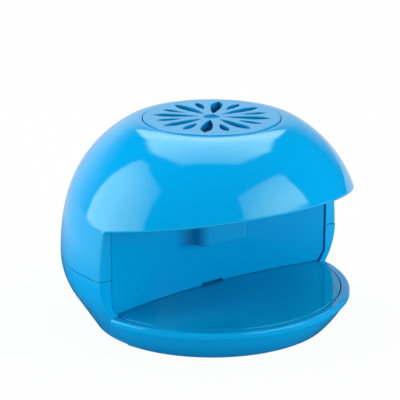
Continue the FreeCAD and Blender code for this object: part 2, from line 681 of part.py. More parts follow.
def edge_frame(name, skin, band, z0, z1):
    """The shell's returned edge beside the opening, level with the jambs."""
    front, back = "-jamb_setback", "-jamb_setback + jamb_return"
    slab = box(name + "_slab", f"-{FAR}", FAR, front, back, z0, z1)
    width = f"({LINING_HALF} + lining_gap)"
    hole = box(name + "_hole", f"-{width}", width, f"{front} - 1", f"{back} + 1", f"{z0} - 1", f"{z1} + 1")
    opening = common(name + "_opening", hole, band)
    return cut(name, common(name + "_whole", slab, skin), opening)


# ---------------------------------------------------------------- the base shell
def tray_front():
    """The tray's front, up to the jambs."""
    front = box("tray_half", f"-{FAR}", FAR, f"-{FAR}", "-jamb_setback", "-1", "rim_height + 1")
    return common("tray_front", tray_form(), front)


def hinge_post(name, x0, x1):
    """A post of the base that carries the plate's hinge pin."""
    y0, y1 = "-pin_forward - ear_radius", "-pin_forward + ear_radius"
    leg = box(name + "_leg", x0, x1, y0, y1, "base_floor / 2", "pin_height")
    return fuse(name, leg, rod(name + "_eye", "ear_radius", x0, x1, "-pin_forward", "pin_height"))


def base_shell():
    """The bowl with its tray rim, screw bosses, hinge posts and battery bay."""
    above = box("above_floor", f"-{FAR}", FAR, f"-{FAR}", FAR, "base_floor", "seam_height + 1")
    skin = cut("bowl_skin", BOWL_OUTSIDE, common("bowl_hollow", BOWL_INSIDE, above))
    under = "(rim_height - rim_depth)"
    over = box("over_tray", f"-{FAR}", FAR, f"-{FAR}", "-jamb_setback", under, "seam_height + 1")
    edge = edge_frame("base_edge_whole", BOWL_OUTSIDE, BOWL_BAND, under, SEAM)
    rebate = cylinder("edge_rebate", RIM_INNER, f"{under} - 1", "rim_height")
    parts = [cut("bowl_open", skin, over), cut("base_edge", edge, rebate), tray_front()]
    inner = []
    for side, sign in SIDES:
        near = "(ear_place + ear_width + ear_gap)"
        far = f"({near} + ear_post_width)"
        ends = (near, far) if sign > 0 else (f"-{far}", f"-{near}")
        inner.append(hinge_post(f"hinge_post_{side}", *ends))
        x = f"{sign} * spring_side"
        inner.append(cylinder(f"spring_peg_{side}", "spring_seat", "base_floor / 2",
                              "base_floor + 2 * board_lift", x, "-spring_forward"))
    for name, x, y in CASE_SCREWS:
        inner.append(cylinder(f"case_boss_{name}", "case_boss_radius", "base_floor / 2", SEAM, x, y))
    for side, sign in SIDES:
        x = f"{sign} * (board_half_length - small_head_radius)"
        inner.append(cylinder(f"board_post_{side}", "small_head_radius", "base_floor / 2",
                              BOARD_BOTTOM, x, "-switch_forward"))
    rib = "bay_rib"
    inner.append(box("bay_block", f"-{BAY_HALF} - {rib}", f"{BAY_HALF} + {rib}", f"bay_front - {rib}",
                     f"{BAY_REAR} + {rib}", "base_floor / 2", f"{BAY_TOP} + {rib}"))
    inner = common("inner_parts", fuse("inner_whole", *inner), BOWL_MIDDLE)
    whole = fuse("base_whole", *parts, inner)

    before = box("before_jambs", f"-{FAR}", FAR, f"-{FAR}", "-jamb_setback", "-1", "seam_height + 1")
    holes = [box("bay_room", f"-{BAY_HALF}", BAY_HALF, "bay_front", BAY_REAR, "-1", BAY_TOP)]
    well = cylinder("well_disc", RIM_INNER, "rim_height - well_depth", "rim_height + 1")
    holes.append(common("plate_well", well, before))
    seam = ("seam_height - seam_gap", "seam_height + 1")
    holes.append(ring("seam_round", FAR, "dome_radius - seam_groove", *seam))
    holes.append(box("seam_front", f"-{FAR}", FAR, f"-{FAR}", "-jamb_setback + seam_groove", *seam))
    reach = f"{BAY_HALF} - door_gap + peg_reach + door_gap"
    holes.append(rod("peg_holes", "peg_radius + peg_fit", f"-({reach})", reach, DOOR_AXIS_Y, DOOR_AXIS_Z))
    pin_end = "(ear_place + ear_width + ear_gap + ear_post_width + 1)"
    holes.append(rod("pin_holes", "pin_radius + pin_fit / 2", f"-{pin_end}", pin_end,
                     "-pin_forward", "pin_height"))
    for name, x, y in CASE_SCREWS:
        holes.append(cylinder(f"case_well_{name}", "screw_head_radius + screw_fit", "-1", "screw_seat", x, y))
        holes.append(cylinder(f"case_hole_{name}", "screw_radius + screw_fit", "-1", "seam_height + 1", x, y))
    for side, sign in SIDES:
        x = f"{sign} * (board_half_length - small_head_radius)"
        holes.append(cylinder(f"board_hole_{side}", SMALL_HOLE, "base_floor / 2",
                              f"{BOARD_BOTTOM} + 1", x, "-switch_forward"))
    for name, x0, x1, y in solder_tabs():
        z = f"({CELL_Z} + tab_rise)"
        half = "(tab_width / 2 + cell_gap / 2)"
        holes.append(box(f"tab_hole_{name}", f"{x0} - 1", x1, f"{y} - {half}", f"{y} + {half}",
                         f"{z} - cell_gap / 2", f"{z} + contact_sheet + cell_gap / 2"))
    node("base_shell", cut("base", whole, *holes))


def solder_tabs():
    """The solder tabs of the two contacts at the right-hand end of the bay."""
    start = f"({BAY_HALF} - contact_sheet)"
    end = f"({BAY_HALF} + bay_rib + tab_reach)"
    yield "front", start, end, FRONT_CELL
    yield "rear", start, end, REAR_CELL


# ----------------------------------------------------------------- the top shell
def top_shell():
    """The dome with its duct, screw posts and the framed edge of the opening."""
    skin = cut("dome_skin", DOME_OUTSIDE, DOME_INSIDE)
    opening = visor_cut()
    shell = fuse("dome_and_edge", cut("dome_open", skin, opening),
                 edge_frame("top_edge", DOME_OUTSIDE, DOME_BAND, SEAM, VISOR))
    parts = [round_edges("dome_rounded", shell, "edge_round",
                         along_both(DOME_OUTSIDE, opening, SIZE["seam_height"]))]
    posts = []
    for name, x, y in CASE_SCREWS:
        posts.append(cylinder(f"case_post_{name}", "post_radius", SEAM, CROWN, x, y))
    for count, x, y in frame_screw_places():
        posts.append(cylinder(f"frame_post_{count}", "post_radius", FRAME_TOP, CROWN, x, y))
    for name, x, y in PANEL_SCREWS:
        posts.append(cylinder(f"panel_post_{name}", "post_radius", VISOR, CROWN, x, y))
    duct = ring("duct", DUCT_OUTER, DUCT_BORE, f"{FAN_BOTTOM} - fan_clearance", CROWN)
    below = sloped_box("below_panel", f"panel_recess + panel_thickness - {FAR}", FAR)
    front = box("panel_side", f"-{FAR}", FAR, f"-{FAR}", "-jamb_setback", "0", CROWN)
    trimmed = cut("posts_trimmed", fuse("posts", duct, *posts), common("panel_room", below, front))
    parts.append(common("posts_inside", trimmed, DOME_OUTSIDE))

    holes = [cylinder("crown_hole", CROWN_FLAT, f"{CROWN} - grille_thickness", f"{CROWN} + 1")]
    holes.append(cylinder("duct_bore", DUCT_BORE, f"{FAN_BOTTOM} - fan_clearance", f"{CROWN} + 1"))
    for name, x, y in CASE_SCREWS:
        depth = "screw_seat + screw_length + 1"
        holes.append(cylinder(f"case_pilot_{name}", "screw_radius + screw_fit", f"{SEAM} - 1", depth, x, y))
    for count, x, y in frame_screw_places():
        depth = f"{FRAME_TOP} + small_screw_length"
        holes.append(cylinder(f"frame_pilot_{count}", SMALL_HOLE, FRAME_TOP, depth, x, y))
    for name, x, y in PANEL_SCREWS:
        depth = f"{panel_height(y)} + small_screw_length + 1"
        holes.append(cylinder(f"panel_pilot_{name}", SMALL_HOLE, VISOR, depth, x, y))
    mouth = full_circle(SIZE["grille_radius"] + SIZE["grille_gap"], SIZE["seam_height"] + SIZE["dome_rise"])
    whole = cut("top", fuse("top_parts", *parts), *holes)
    node("top_shell", round_edges("top_eased", whole, "grille_round", mouth))


def panel_height(y):
    """The height of the outlet panel's underside at a place."""
    return f"({VISOR} + panel_recess + (-({y}) - jamb_setback) * tan(visor_slope * 1 deg))"


# -------------------------------------------------------------------- the grille
def petal_pocket(body, name, which, angle):
    """Cut one leaf-shaped slot through the grille and repeat it round the disc."""
    start, end = SIZE[which + "_petal_start"], SIZE[which + "_petal_end"]
    belly, half = SIZE[which + "_petal_belly"], SIZE[which + "_petal_width"] / 2
    inner = ((belly - start) ** 2 + half ** 2) / (2 * half)
    outer = ((end - belly) ** 2 + half ** 2) / (2 * half)
    lean = math.atan2(inner - half, belly - start)
    rake = math.atan2(outer - half, end - belly)
    sketch = sketch_on(body, name, "XY_Plane", GRILLE_TOP)
    sketch.addGeometry([
        arc(Vector(belly, half - inner, 0), inner, math.pi / 2, math.pi - lean),
        arc(Vector(belly, half - outer, 0), outer, rake, math.pi / 2),
        arc(Vector(belly, outer - half, 0), outer, 1.5 * math.pi, 2 * math.pi - rake),
        arc(Vector(belly, inner - half, 0), inner, math.pi + lean, 1.5 * math.pi),
    ], False)
    sketch.addConstraint([
        Constraint("Tangent", 0, 1, 1, 2),
        Constraint("Tangent", 2, 1, 3, 2),
        Constraint("Coincident", 1, 1, 2, 2),
        Constraint("Coincident", 0, 2, 3, 1),
        Constraint("PointOnObject", 0, 2, -1),
        Constraint("PointOnObject", 1, 1, -1),
        Constraint("Vertical", 0, 3, 0, 1),
        Constraint("Vertical", 2, 3, 2, 1),
        Constraint("Symmetric", 0, 1, 2, 1, -1),
    ])
    dimension(sketch, Constraint("DistanceX", -1, 1, 0, 2, start), which + "_petal_start")
    dimension(sketch, Constraint("DistanceX", -1, 1, 1, 1, end), which + "_petal_end")
    dimension(sketch, Constraint("DistanceX", -1, 1, 0, 1, belly), which + "_petal_belly")
    dimension(sketch, Constraint("DistanceY", 2, 1, 0, 1, 2 * half), which + "_petal_width")
    sketch.AttachmentOffset = FreeCAD.Placement(Vector(), FreeCAD.Rotation(AXIS_Z, angle))
    pocket = body.newObject("PartDesign::Pocket", name + "_pocket")
    pocket.Profile = sketch
    bind(pocket, Length="2 * (grille_thickness + grille_proud)")
    doc.recompute()
    pattern = body.newObject("PartDesign::PolarPattern", name + "_pattern")
    pattern.Originals = [pocket]
    pattern.Axis = (sketch, ["N_Axis"])
    pattern.Angle = 360
    pattern.Occurrences = PETALS
    body.Tip = pattern
    doc.recompute()


def top_grille():
    """The disc in the crown, with eight long slots and eight short ones."""
    body = new_body("grille")
    disc = circle_sketch(body, "grille_disc", "grille_radius", SIZE["grille_radius"],
                         f"{CROWN} - grille_thickness")
    pad = body.newObject("PartDesign::Pad", "grille_pad")
    pad.Profile = disc
    bind(pad, Length="grille_thickness + grille_proud")
    doc.recompute()
    petal_pocket(body, "long_petal", "long", 0)
    petal_pocket(body, "short_petal", "short", 180 / PETALS)
    dimple = circle_sketch(body, "dimple", "dimple_radius", SIZE["dimple_radius"], GRILLE_TOP)
    pocket = body.newObject("PartDesign::Pocket", "dimple_pocket")
    pocket.Profile = dimple
    bind(pocket, Length="dimple_depth")
    top = SIZE["seam_height"] + SIZE["dome_rise"] + SIZE["grille_proud"]
    edge = full_circle(SIZE["grille_radius"], top)
    node("top_grille", round_edges("grille_eased", body, "grille_round", edge))


# ------------------------------------------------------- the lining of the cavity
def pod_form(name, grow):
    """The motor housing on the wall: rounded in front, hollow where it meets it."""
    half = f"(pod_half_width + {grow})"
    back = "-wall_setback + lining_wall"
    block = box(name + "_block", f"-{half}", half, f"-pod_front - {grow}", back, POD_BOTTOM, WALL_TOP)
    front = -SIZE["pod_front"] - (SIZE[grow] if grow in SIZE else 0)
    rounded = round_edges(name + "_rounded", block, "pod_corner",
                          lambda edge: upright(edge) and abs(edge.BoundBox.YMin - front) < 1e-4)
    parts = [rounded]
    for side, sign in SIDES:
        edge = f"{sign} * ({half} + pod_cove)"
        centre = f"-(wall_setback + ({half} + pod_cove)^2 / (2 * wall_bow) + pod_cove)"
        ends = (half, f"{half} + pod_cove") if sign > 0 else (f"-{half} - pod_cove", f"-{half}")
        filler = box(f"{name}_filler_{side}", *ends, centre, back, POD_BOTTOM, WALL_TOP)
        hollow = cylinder(f"{name}_hollow_{side}", "pod_cove", f"{POD_BOTTOM} - 1", f"{WALL_TOP} + 1",
                          edge, centre)
        parts.append(cut(f"{name}_cove_{side}", filler, hollow))
    return fuse(name, *parts)


def cavity_wall():
    """The bowed wall at the back of the cavity, with the motor's housing."""
    inside = cylinder("bow_inside", "wall_bow", f"{WALL_FOOT} - 1", f"{WALL_TOP} + 1", y=WALL_CENTRE)
    outside = cylinder("bow_outside", "wall_bow + lining_wall", WALL_FOOT, WALL_TOP, y=WALL_CENTRE)
    span = box("wall_span", f"-{LINING_HALF}", LINING_HALF, f"-{FAR}", FAR, WALL_FOOT, WALL_TOP)
    near = box("near_base", f"-{FAR}", FAR, f"-{FAR}", FAR, "0", SEAM)
    beside = cut("beside_bowl", near, BOWL_LINING)
    high = box("near_dome", f"-{FAR}", FAR, f"-{FAR}", FAR, SEAM, CROWN)
    above = cut("beside_dome", high, DOME_PANEL)
    bowed = cut("wall_sheet", common("wall_arc", cut("bow", outside, inside), span), beside, above)
    pod_span = box("pod_span", f"-{FAR}", FAR, "-pod_front - 1", FAR, POD_BOTTOM, WALL_TOP)
    limit = cylinder("bow_limit", "wall_bow + lining_wall", f"{POD_BOTTOM} - 1", f"{WALL_TOP} + 1",
                     y=WALL_CENTRE)
    pod = cut("pod_trimmed", pod_form("pod", "0"), cut("behind_arc", pod_span, limit))
    inner = "(pod_half_width - pod_wall)"
    room = box("motor_room", f"-{inner}", inner, "-pod_front + pod_wall", "can_radius",
               f"{POD_BOTTOM} + pod_wall", f"{WALL_TOP} + 1")
    notch = box("notch", "-notch_width / 2", "notch_width / 2", "-wall_setback - lining_wall",
                "lining_wall + 1", f"{WALL_FOOT} - 1", f"{WALL_FOOT} + notch_height")
    node("cavity_wall", cut("lining", fuse("wall_and_pod", bowed, pod), room, notch))


def outlet_panel():
    """The ceiling of the cavity, which lets the air down through its slots."""
    slab = sloped_box("panel_slab", "panel_recess", "panel_thickness")
    front = box("panel_front", f"-{FAR}", FAR, f"-{FAR}", "0", "0", CROWN)
    bow = cylinder("panel_bow", "wall_bow - panel_gap", "0", CROWN, y=WALL_CENTRE)
    plate = common("panel_plate", slab, front, bow, DOME_PANEL)
    holes = [pod_form("pod_room", "panel_gap")]
    last = math.sqrt(SIZE["slot_reach"] ** 2 - (3 * SIZE["slot_bar"]) ** 2)
    count = int((last - SIZE["pod_front"]) / SIZE["slot_pitch"])
    for number in range(count):
        y = f"(pod_front + {number + 1} * slot_pitch)"
        half = f"sqrt(slot_reach^2 - {y}^2)"
        for side, sign in SIDES:
            ends = ("slot_bar / 2", f"slot_bar / 2 + {half}")
            if sign < 0:
                ends = tuple(f"-({end})" for end in reversed(ends))
            holes.append(box(f"slot_{number}_{side}", *ends, f"-{y} - slot_width / 2",
                             f"-{y} + slot_width / 2", VISOR, CROWN))
    for name, x, y in PANEL_SCREWS:
        holes.append(cylinder(f"panel_hole_{name}", SMALL_HOLE, VISOR, CROWN, x, y))
    node("outlet_panel", cut("panel", plate, *holes))


# ----------------------------------------------------------- the motor and its fan
def can_section(name, radius, half_depth, z0, z1):
    """A round bar with two flats, upright on the axis."""
    flats = box(name + "_flats", f"-{radius}", radius, f"-({half_depth})", half_depth, z0, z1)
    return common(name, cylinder(name + "_round", radius, z0, z1), flats)


def motor():
    """The can, its magnets and end cap, and the armature on its shaft."""
    top = CAN_TOP
    hollow = can_section("can_hollow", "can_radius - can_wall", "can_half_depth - can_wall",
                         f"{CAN_BOTTOM} - 1", f"{top} - can_wall")
    boss = cylinder("can_boss", "motor_boss_radius", f"{top} - can_wall", f"{top} + motor_boss_height")
    bore = cylinder("can_bore", "shaft_radius + shaft_fit", f"{top} - 2 * can_wall",
                    f"{top} + motor_boss_height + 1")
    can = can_section("can_outside", "can_radius", "can_half_depth", CAN_BOTTOM, top)
    node("motor_can", cut("can", fuse("can_and_boss", cut("can_cup", can, hollow), boss), bore))

    middle = f"(({CAN_BOTTOM} + {top}) / 2)"
    low, high = f"({middle} - armature_length / 2)", f"({middle} + armature_length / 2)"
    magnet = can_section("magnet_outside", "can_radius - can_wall - shaft_fit",
                         "can_half_depth - can_wall - shaft_fit", low, high)
    room = cylinder("magnet_bore", "armature_radius + magnet_gap", f"{low} - 1", f"{high} + 1")
    split = box("magnet_split", "-can_radius", "can_radius", "-armature_radius / 2",
                "armature_radius / 2", low, high)
    node("motor_magnets", common("magnets", cut("magnet_ring", magnet, room), split))

    cap = can_section("cap_body", "can_radius - can_wall", "can_half_depth - can_wall",
                      MOTOR_BOTTOM, CAN_BOTTOM)
    cap_bore = cylinder("cap_bore", "shaft_radius + shaft_fit", f"{CAN_BOTTOM} - cap_length / 2",
                        f"{CAN_BOTTOM} + 1")
    node("motor_end_cap", cut("cap", cap, cap_bore))
    tabs = []
    for side, sign in SIDES:
        x0, x1 = f"{sign} * can_radius / 2 - 1", f"{sign} * can_radius / 2 + 1"
        tabs.append(box(f"terminal_{side}", x0, x1, "can_half_depth - can_wall",
                        "can_half_depth + tab_width", f"{MOTOR_BOTTOM} + cap_length / 2",
                        f"{MOTOR_BOTTOM} + cap_length / 2 + contact_sheet"))
    node("motor_terminals", group("terminals", tabs))

    shaft_end = f"({FAN_BOTTOM} + hub_length - shaft_radius)"
    shaft_start = f"{CAN_BOTTOM} - cap_length / 2 + shaft_fit"
    node("motor_shaft", cylinder("shaft", "shaft_radius", shaft_start, shaft_end))
    slots = []
    for count in range(WINDINGS):
        slot = box(f"winding_slot_{count}", "winding_root", "armature_radius + 1", "-winding_gap / 2",
                   "winding_gap / 2", f"{low} - 1", f"{high} + 1")
        slot.Placement = FreeCAD.Placement(Vector(), FreeCAD.Rotation(AXIS_Z, 360 / WINDINGS * count))
        turn = f"({360 / WINDINGS * count} * 1 deg)"
        bind(slot, Placement__Base__x=f"winding_root * cos({turn}) + winding_gap / 2 * sin({turn})",
             Placement__Base__y=f"winding_root * sin({turn}) - winding_gap / 2 * cos({turn})",
             Placement__Base__z=f"{low} - 1")
        slots.append(slot)
    core = cylinder("armature_core", "armature_radius", low, high)
    axle = cylinder("armature_bore", "shaft_radius", f"{low} - 1", f"{high} + 1")
    node("motor_armature", cut("armature", core, axle, *slots))


def fan_impeller():
    """The five-bladed fan on the motor's shaft."""
    middle = f"({FAN_BOTTOM} + hub_length / 2)"
    blades = []
    for count in range(BLADES):
        turn = FreeCAD.Rotation(AXIS_Z, 360 / BLADES * count)
        pitch = FreeCAD.Rotation(AXIS_X, SIZE["blade_pitch"])
        blade = doc.addObject("Part::Box", f"blade_{count}")
        bind(blade, Length="fan_radius - hub_radius / 2", Width="blade_chord", Height="blade_thickness")
        sweep = turn.multiply(pitch)
        corner = Vector(SIZE["hub_radius"] / 2, 0, 0)
        back = pitch.multVec(Vector(0, SIZE["blade_chord"] / 2, SIZE["blade_thickness"] / 2))
        blade.Placement = FreeCAD.Placement(turn.multVec(corner - back), sweep)
        bind(blade, Placement__Base__z=f"{middle} + {-back.z}")
        blades.append(blade)
    limit = cylinder("fan_limit", "fan_radius", FAN_BOTTOM, f"{FAN_BOTTOM} + hub_length")
    hub = cylinder("fan_hub", "hub_radius", FAN_BOTTOM, f"{FAN_BOTTOM} + hub_length")
    bore = cylinder("fan_bore", "shaft_radius", f"{FAN_BOTTOM} - 1",
                    f"{FAN_BOTTOM} + hub_length - shaft_radius")
    wheel = fuse("fan_wheel", common("fan_blades", fuse("blades", *blades), limit), hub)
    node("fan_impeller", cut("fan", wheel, bore))


def motor_frame():
    """The spider that hangs the motor from the top shell, under the fan."""
    low = CAN_TOP
    cup = can_section("cup_outside", "can_radius + frame_fit + frame_thickness",
                      "can_half_depth + frame_fit + frame_thickness", f"{low} - frame_grip", FRAME_TOP)
    room = can_section("cup_room", "can_radius + frame_fit", "can_half_depth + frame_fit",
                       f"{low} - frame_grip - 1", low)
    hoop = ring("frame_hoop", "frame_ring + frame_bar / 2", "frame_ring - frame_bar / 2", low, FRAME_TOP)
    parts = [cup, hoop]
    holes = [room, cylinder("boss_hole", "motor_boss_radius + frame_fit", f"{low} - 1", f"{FRAME_TOP} + 1")]
    for count, x, y in frame_screw_places():
        spoke = box(f"spoke_{count}", "0", "frame_radius", "-frame_bar / 2", "frame_bar / 2", low, FRAME_TOP)
        angle = SPIDER_TURN + 360 / SPOKES * count
        turn = f"({angle} * 1 deg)"
        spoke.Placement = FreeCAD.Placement(Vector(), FreeCAD.Rotation(AXIS_Z, angle))
        bind(spoke, Placement__Base__x=f"frame_bar / 2 * sin({turn})",
             Placement__Base__y=f"-frame_bar / 2 * cos({turn})", Placement__Base__z=low)
        parts.append(spoke)
        parts.append(cylinder(f"frame_ear_{count}", "post_radius", low, FRAME_TOP, x, y))
        holes.append(cylinder(f"ear_hole_{count}", SMALL_HOLE, f"{low} - 1", f"{FRAME_TOP} + 1", x, y))
    node("motor_frame", cut("frame", fuse("frame_parts", *parts), *holes))


# ------------------------------------------------------------ the plate and switch
def press_plate():
    """The plate in the tray: pressing it lowers its front edge a little."""
    flank = f"({PLATE_BOTTOM} + plate_chamfer)"
    disc = cylinder("plate_disc", f"{RIM_INNER} - plate_gap", flank, PLATE_TOP)
    top = SIZE["rim_height"] + SIZE["plate_proud"]
    eased = round_edges("plate_eased", disc, "plate_round", lambda edge: edge.BoundBox.ZMin > top - 1e-4)
    bevel = doc.addObject("Part::Cone", "plate_bevel")
    bind(bevel, Radius1=f"{RIM_INNER} - plate_gap - plate_chamfer", Radius2=f"{RIM_INNER} - plate_gap",
         Height="plate_chamfer")
    place(bevel, z=PLATE_BOTTOM)
    front = box("plate_front", f"-{FAR}", FAR, f"-{FAR}", "-plate_shoulder", PLATE_BOTTOM, PLATE_TOP)
    tail = box("plate_tail_box", "-plate_half_tail", "plate_half_tail", f"-{FAR}", "plate_tail",
               PLATE_BOTTOM, PLATE_TOP)
    parts = [common("plate_sheet", fuse("plate_whole", eased, bevel), fuse("plate_plan", front, tail))]
    for side, sign in SIDES:
        ends = ("ear_place", "ear_place + ear_width")
        if sign < 0:
            ends = ("-ear_place - ear_width", "-ear_place")
        y0, y1 = "-pin_forward - ear_radius", "-pin_forward + ear_radius"
        parts.append(box(f"ear_{side}", *ends, y0, y1, "pin_height", f"{PLATE_BOTTOM} + plate_thickness / 2"))
        parts.append(rod(f"ear_eye_{side}", "ear_radius", *ends, "-pin_forward", "pin_height"))
    bore = rod("ear_bore", "pin_radius + pin_fit", "-ear_place - 2 * ear_width", "ear_place + 2 * ear_width",
               "-pin_forward", "pin_height")
    node("press_plate", cut("plate", fuse("plate_parts", *parts), bore))

    end = "(ear_place + ear_width + ear_gap + ear_post_width)"
    node("plate_hinge_pin", rod("hinge_pin", "pin_radius", f"-{end}", end, "-pin_forward", "pin_height"))


def coil(name, radius, wire, height, turns, x, y, z, axis=None, angle=None):
    """A helical spring whose axis starts at a place."""
    helix = doc.addObject("Part::Helix", name + "_helix")
    bind(helix, Radius=radius, Height=height, Pitch=f"({height}) / ({turns})")
    helix.SegmentLength = 1
    profile = doc.addObject("Part::Circle", name + "_wire")
    bind(profile, Radius=wire)
    place(profile, radius, "0", "0", AXIS_X, "90")
    sweep = doc.addObject("Part::Sweep", name)
    sweep.Sections = [profile]
    sweep.Spine = (helix, [])
    sweep.Solid = True
    sweep.Frenet = True
    place(sweep, x, y, z, axis, angle)
    return sweep


def plate_springs():
    """The two springs that lift the plate again."""
    height = f"({PLATE_BOTTOM} - base_floor - 3 * spring_wire)"
    for side, sign in SIDES:
        x = f"{sign} * spring_side"
        spring = coil(f"spring_{side}", "spring_radius", "spring_wire", height, "spring_turns",
                      x, "-spring_forward", "base_floor + 1.5 * spring_wire")
        node(f"plate_spring_{side}", spring)


def switch():
    """The board with the push switch that the plate works."""
    y0, y1 = "-switch_forward - board_half_width", "-switch_forward + board_half_width"
    board = box("board", "-board_half_length", "board_half_length", y0, y1, BOARD_BOTTOM, BOARD_TOP)
    holes = []
    screws = []
    for side, sign in SIDES:
        x = f"{sign} * (board_half_length - small_head_radius)"
        holes.append(cylinder(f"board_bore_{side}", SMALL_HOLE,
                              f"{BOARD_BOTTOM} - 1", f"{BOARD_TOP} + 1", x, "-switch_forward"))
        head = cylinder(f"board_head_{side}", "small_head_radius", BOARD_TOP,
                        f"{BOARD_TOP} + small_head_height", x, "-switch_forward")
        shank = cylinder(f"board_shank_{side}", "small_screw_radius", "base_floor / 2 + screw_fit", BOARD_TOP,
                         x, "-switch_forward")
        screws.append(fuse(f"board_screw_{side}", head, shank))
    node("circuit_board", cut("board_bored", board, *holes))
    node("board_screws", group("board_screw_pair", screws))

    low = f"({PLUNGER_TOP} - plunger_length)"
    front, back = "-switch_forward - switch_half", "-switch_forward + switch_half"
    body = box("switch_block", "-switch_half", "switch_half", front, back, BOARD_TOP,
               f"{BOARD_TOP} + switch_height")
    bore = cylinder("switch_bore", "plunger_radius + plunger_fit", f"{low} - plunger_travel",
                    f"{BOARD_TOP} + switch_height + 1", y="-switch_forward")
    node("switch_body", cut("switch_housing", body, bore))
    node("switch_plunger", cylinder("plunger", "plunger_radius", low, PLUNGER_TOP, y="-switch_forward"))


# ------------------------------------------------------------ batteries and door
def cell(name, y, sign):
    """A battery cell along X, its nub towards the given side."""
    can_end = f"({BAY_HALF} - contact_sheet - shaft_fit - nub_length)"
    nub_end = f"({BAY_HALF} - contact_sheet - shaft_fit)"
    flat_end = f"({can_end} - cell_length + nub_length)"
    ends = ((flat_end, can_end), (can_end, nub_end))
    if sign < 0:
        ends = tuple((f"-{stop}", f"-{start}") for start, stop in ends)
    can = rod(name + "_can", "cell_radius", *ends[0], y, CELL_Z)
    nub = rod(name + "_nub", "nub_radius", *ends[1], y, CELL_Z)
    return node(name, fuse(name + "_solid", can, nub))


def contact_plate(name, y, sign):
    """A square of sheet metal at one end of a cell."""
    ends = (f"{BAY_HALF} - contact_sheet", BAY_HALF)
    if sign < 0:
        ends = (f"-{BAY_HALF}", f"-{BAY_HALF} + contact_sheet")
    return box(name, *ends, f"{y} - contact_half", f"{y} + contact_half",
               f"{CELL_Z} - contact_half", f"{CELL_Z} + contact_half")


def contact_spring(name, y, sign):
    """The coil that presses on a cell's flat end."""
    room = "(2 * contact_room - contact_sheet - 2 * shaft_fit - 2 * contact_wire)"
    start = f"{sign} * ({BAY_HALF} - contact_sheet - contact_wire / 2)"
    turn = "-90" if sign > 0 else "90"
    return coil(name, "contact_coil", "contact_wire", f"{room} - contact_sheet", "contact_turns",
                start, y, CELL_Z, AXIS_Y, turn)


def contacts():
    """The sheet metal contacts at the two ends of the battery bay."""
    tabs = {}
    for name, x0, x1, y in solder_tabs():
        z = f"({CELL_Z} + tab_rise)"
        tabs[name] = box(f"tab_{name}", x0, x1, f"{y} - tab_width / 2", f"{y} + tab_width / 2",
                         z, f"{z} + contact_sheet")
    node("positive_contact", fuse("positive", contact_plate("positive_plate", FRONT_CELL, 1), tabs["front"]))
    node("negative_contact", fuse("negative", contact_plate("negative_plate", REAR_CELL, 1), tabs["rear"],
                                  contact_spring("negative_coil", REAR_CELL, 1)))
    bridge = box("bridge", f"-{BAY_HALF}", f"-{BAY_HALF} + contact_sheet", FRONT_CELL, REAR_CELL,
                 f"{CELL_Z} - tab_width / 2", f"{CELL_Z} + tab_width / 2")
    node("bridge_contact", fuse("bridge_parts", bridge, contact_plate("bridge_plate", REAR_CELL, -1),
                                contact_plate("bridge_base", FRONT_CELL, -1),
                                contact_spring("bridge_coil", FRONT_CELL, -1)))


def battery_door():
    """The door in the underside, which swings down on two pegs."""
    half = f"({BAY_HALF} - door_gap)"
    leaf = box("door_sheet", f"-{half}", half, DOOR_AXIS_Y, f"{BAY_REAR} - door_gap",
               "door_recess", "door_recess + door_thickness")
    edge = rod("door_edge", "door_thickness / 2", f"-{half}", half, DOOR_AXIS_Y, DOOR_AXIS_Z)
    reach = f"({half} + peg_reach)"
    pegs = rod("door_pegs", "peg_radius", f"-{reach}", reach, DOOR_AXIS_Y, DOOR_AXIS_Z)
    parts = [leaf, edge, pegs]
    for number in range(GRIP_RIDGES):
        y = f"{BAY_REAR} - door_gap - {number + 1} * grip_pitch"
        parts.append(box(f"grip_{number}", "-grip_length / 2", "grip_length / 2", f"{y} - grip_pitch / 4",
                         f"{y} + grip_pitch / 4", "door_recess - grip_height", "door_recess + grip_height"))
    node("battery_door", fuse("door", *parts))


# --------------------------------------------------------------- screws and leads
def case_screws():
    """The screws that join the two shells, seated deep in the base's bosses."""
    screws = []
    for name, x, y in CASE_SCREWS:
        under = "screw_seat - screw_head_height"
        tip = "screw_seat + screw_length"
        head = cylinder(f"case_head_{name}", "screw_head_radius", under, "screw_seat", x, y)
        shank = cylinder(f"case_shank_{name}", "screw_radius", "screw_seat", tip, x, y)
        screws.append(fuse(f"case_screw_{name}", head, shank))
    node("case_screws", group("case_screw_set", screws))


def frame_screws():
    """The screws that hold the motor frame up to its posts."""
    screws = []
    for count, x, y in frame_screw_places():
        under = f"{CAN_TOP} - small_head_height"
        head = cylinder(f"frame_head_{count}", "small_head_radius", under, CAN_TOP, x, y)
        shank = cylinder(f"frame_shank_{count}", "small_screw_radius", CAN_TOP,
                         f"{FRAME_TOP} + small_screw_length - frame_thickness", x, y)
        screws.append(fuse(f"frame_screw_{count}", head, shank))
    node("frame_screws", group("frame_screw_set", screws))


def panel_screws():
    """The screws that hold the outlet panel, square to its slope."""
    screws = []
    for name, x, y in PANEL_SCREWS:
        seat = f"({panel_height(y)} - small_head_radius * tan(visor_slope * 1 deg))"
        head = cylinder(f"panel_head_{name}", "small_head_radius", f"{seat} - small_head_height", seat, x, y)
        tip = f"{seat} + small_screw_length"
        shank = cylinder(f"panel_shank_{name}", "small_screw_radius", seat, tip, x, y)
        screws.append(fuse(f"panel_screw_{name}", head, shank))
    node("panel_screws", group("panel_screw_set", screws))


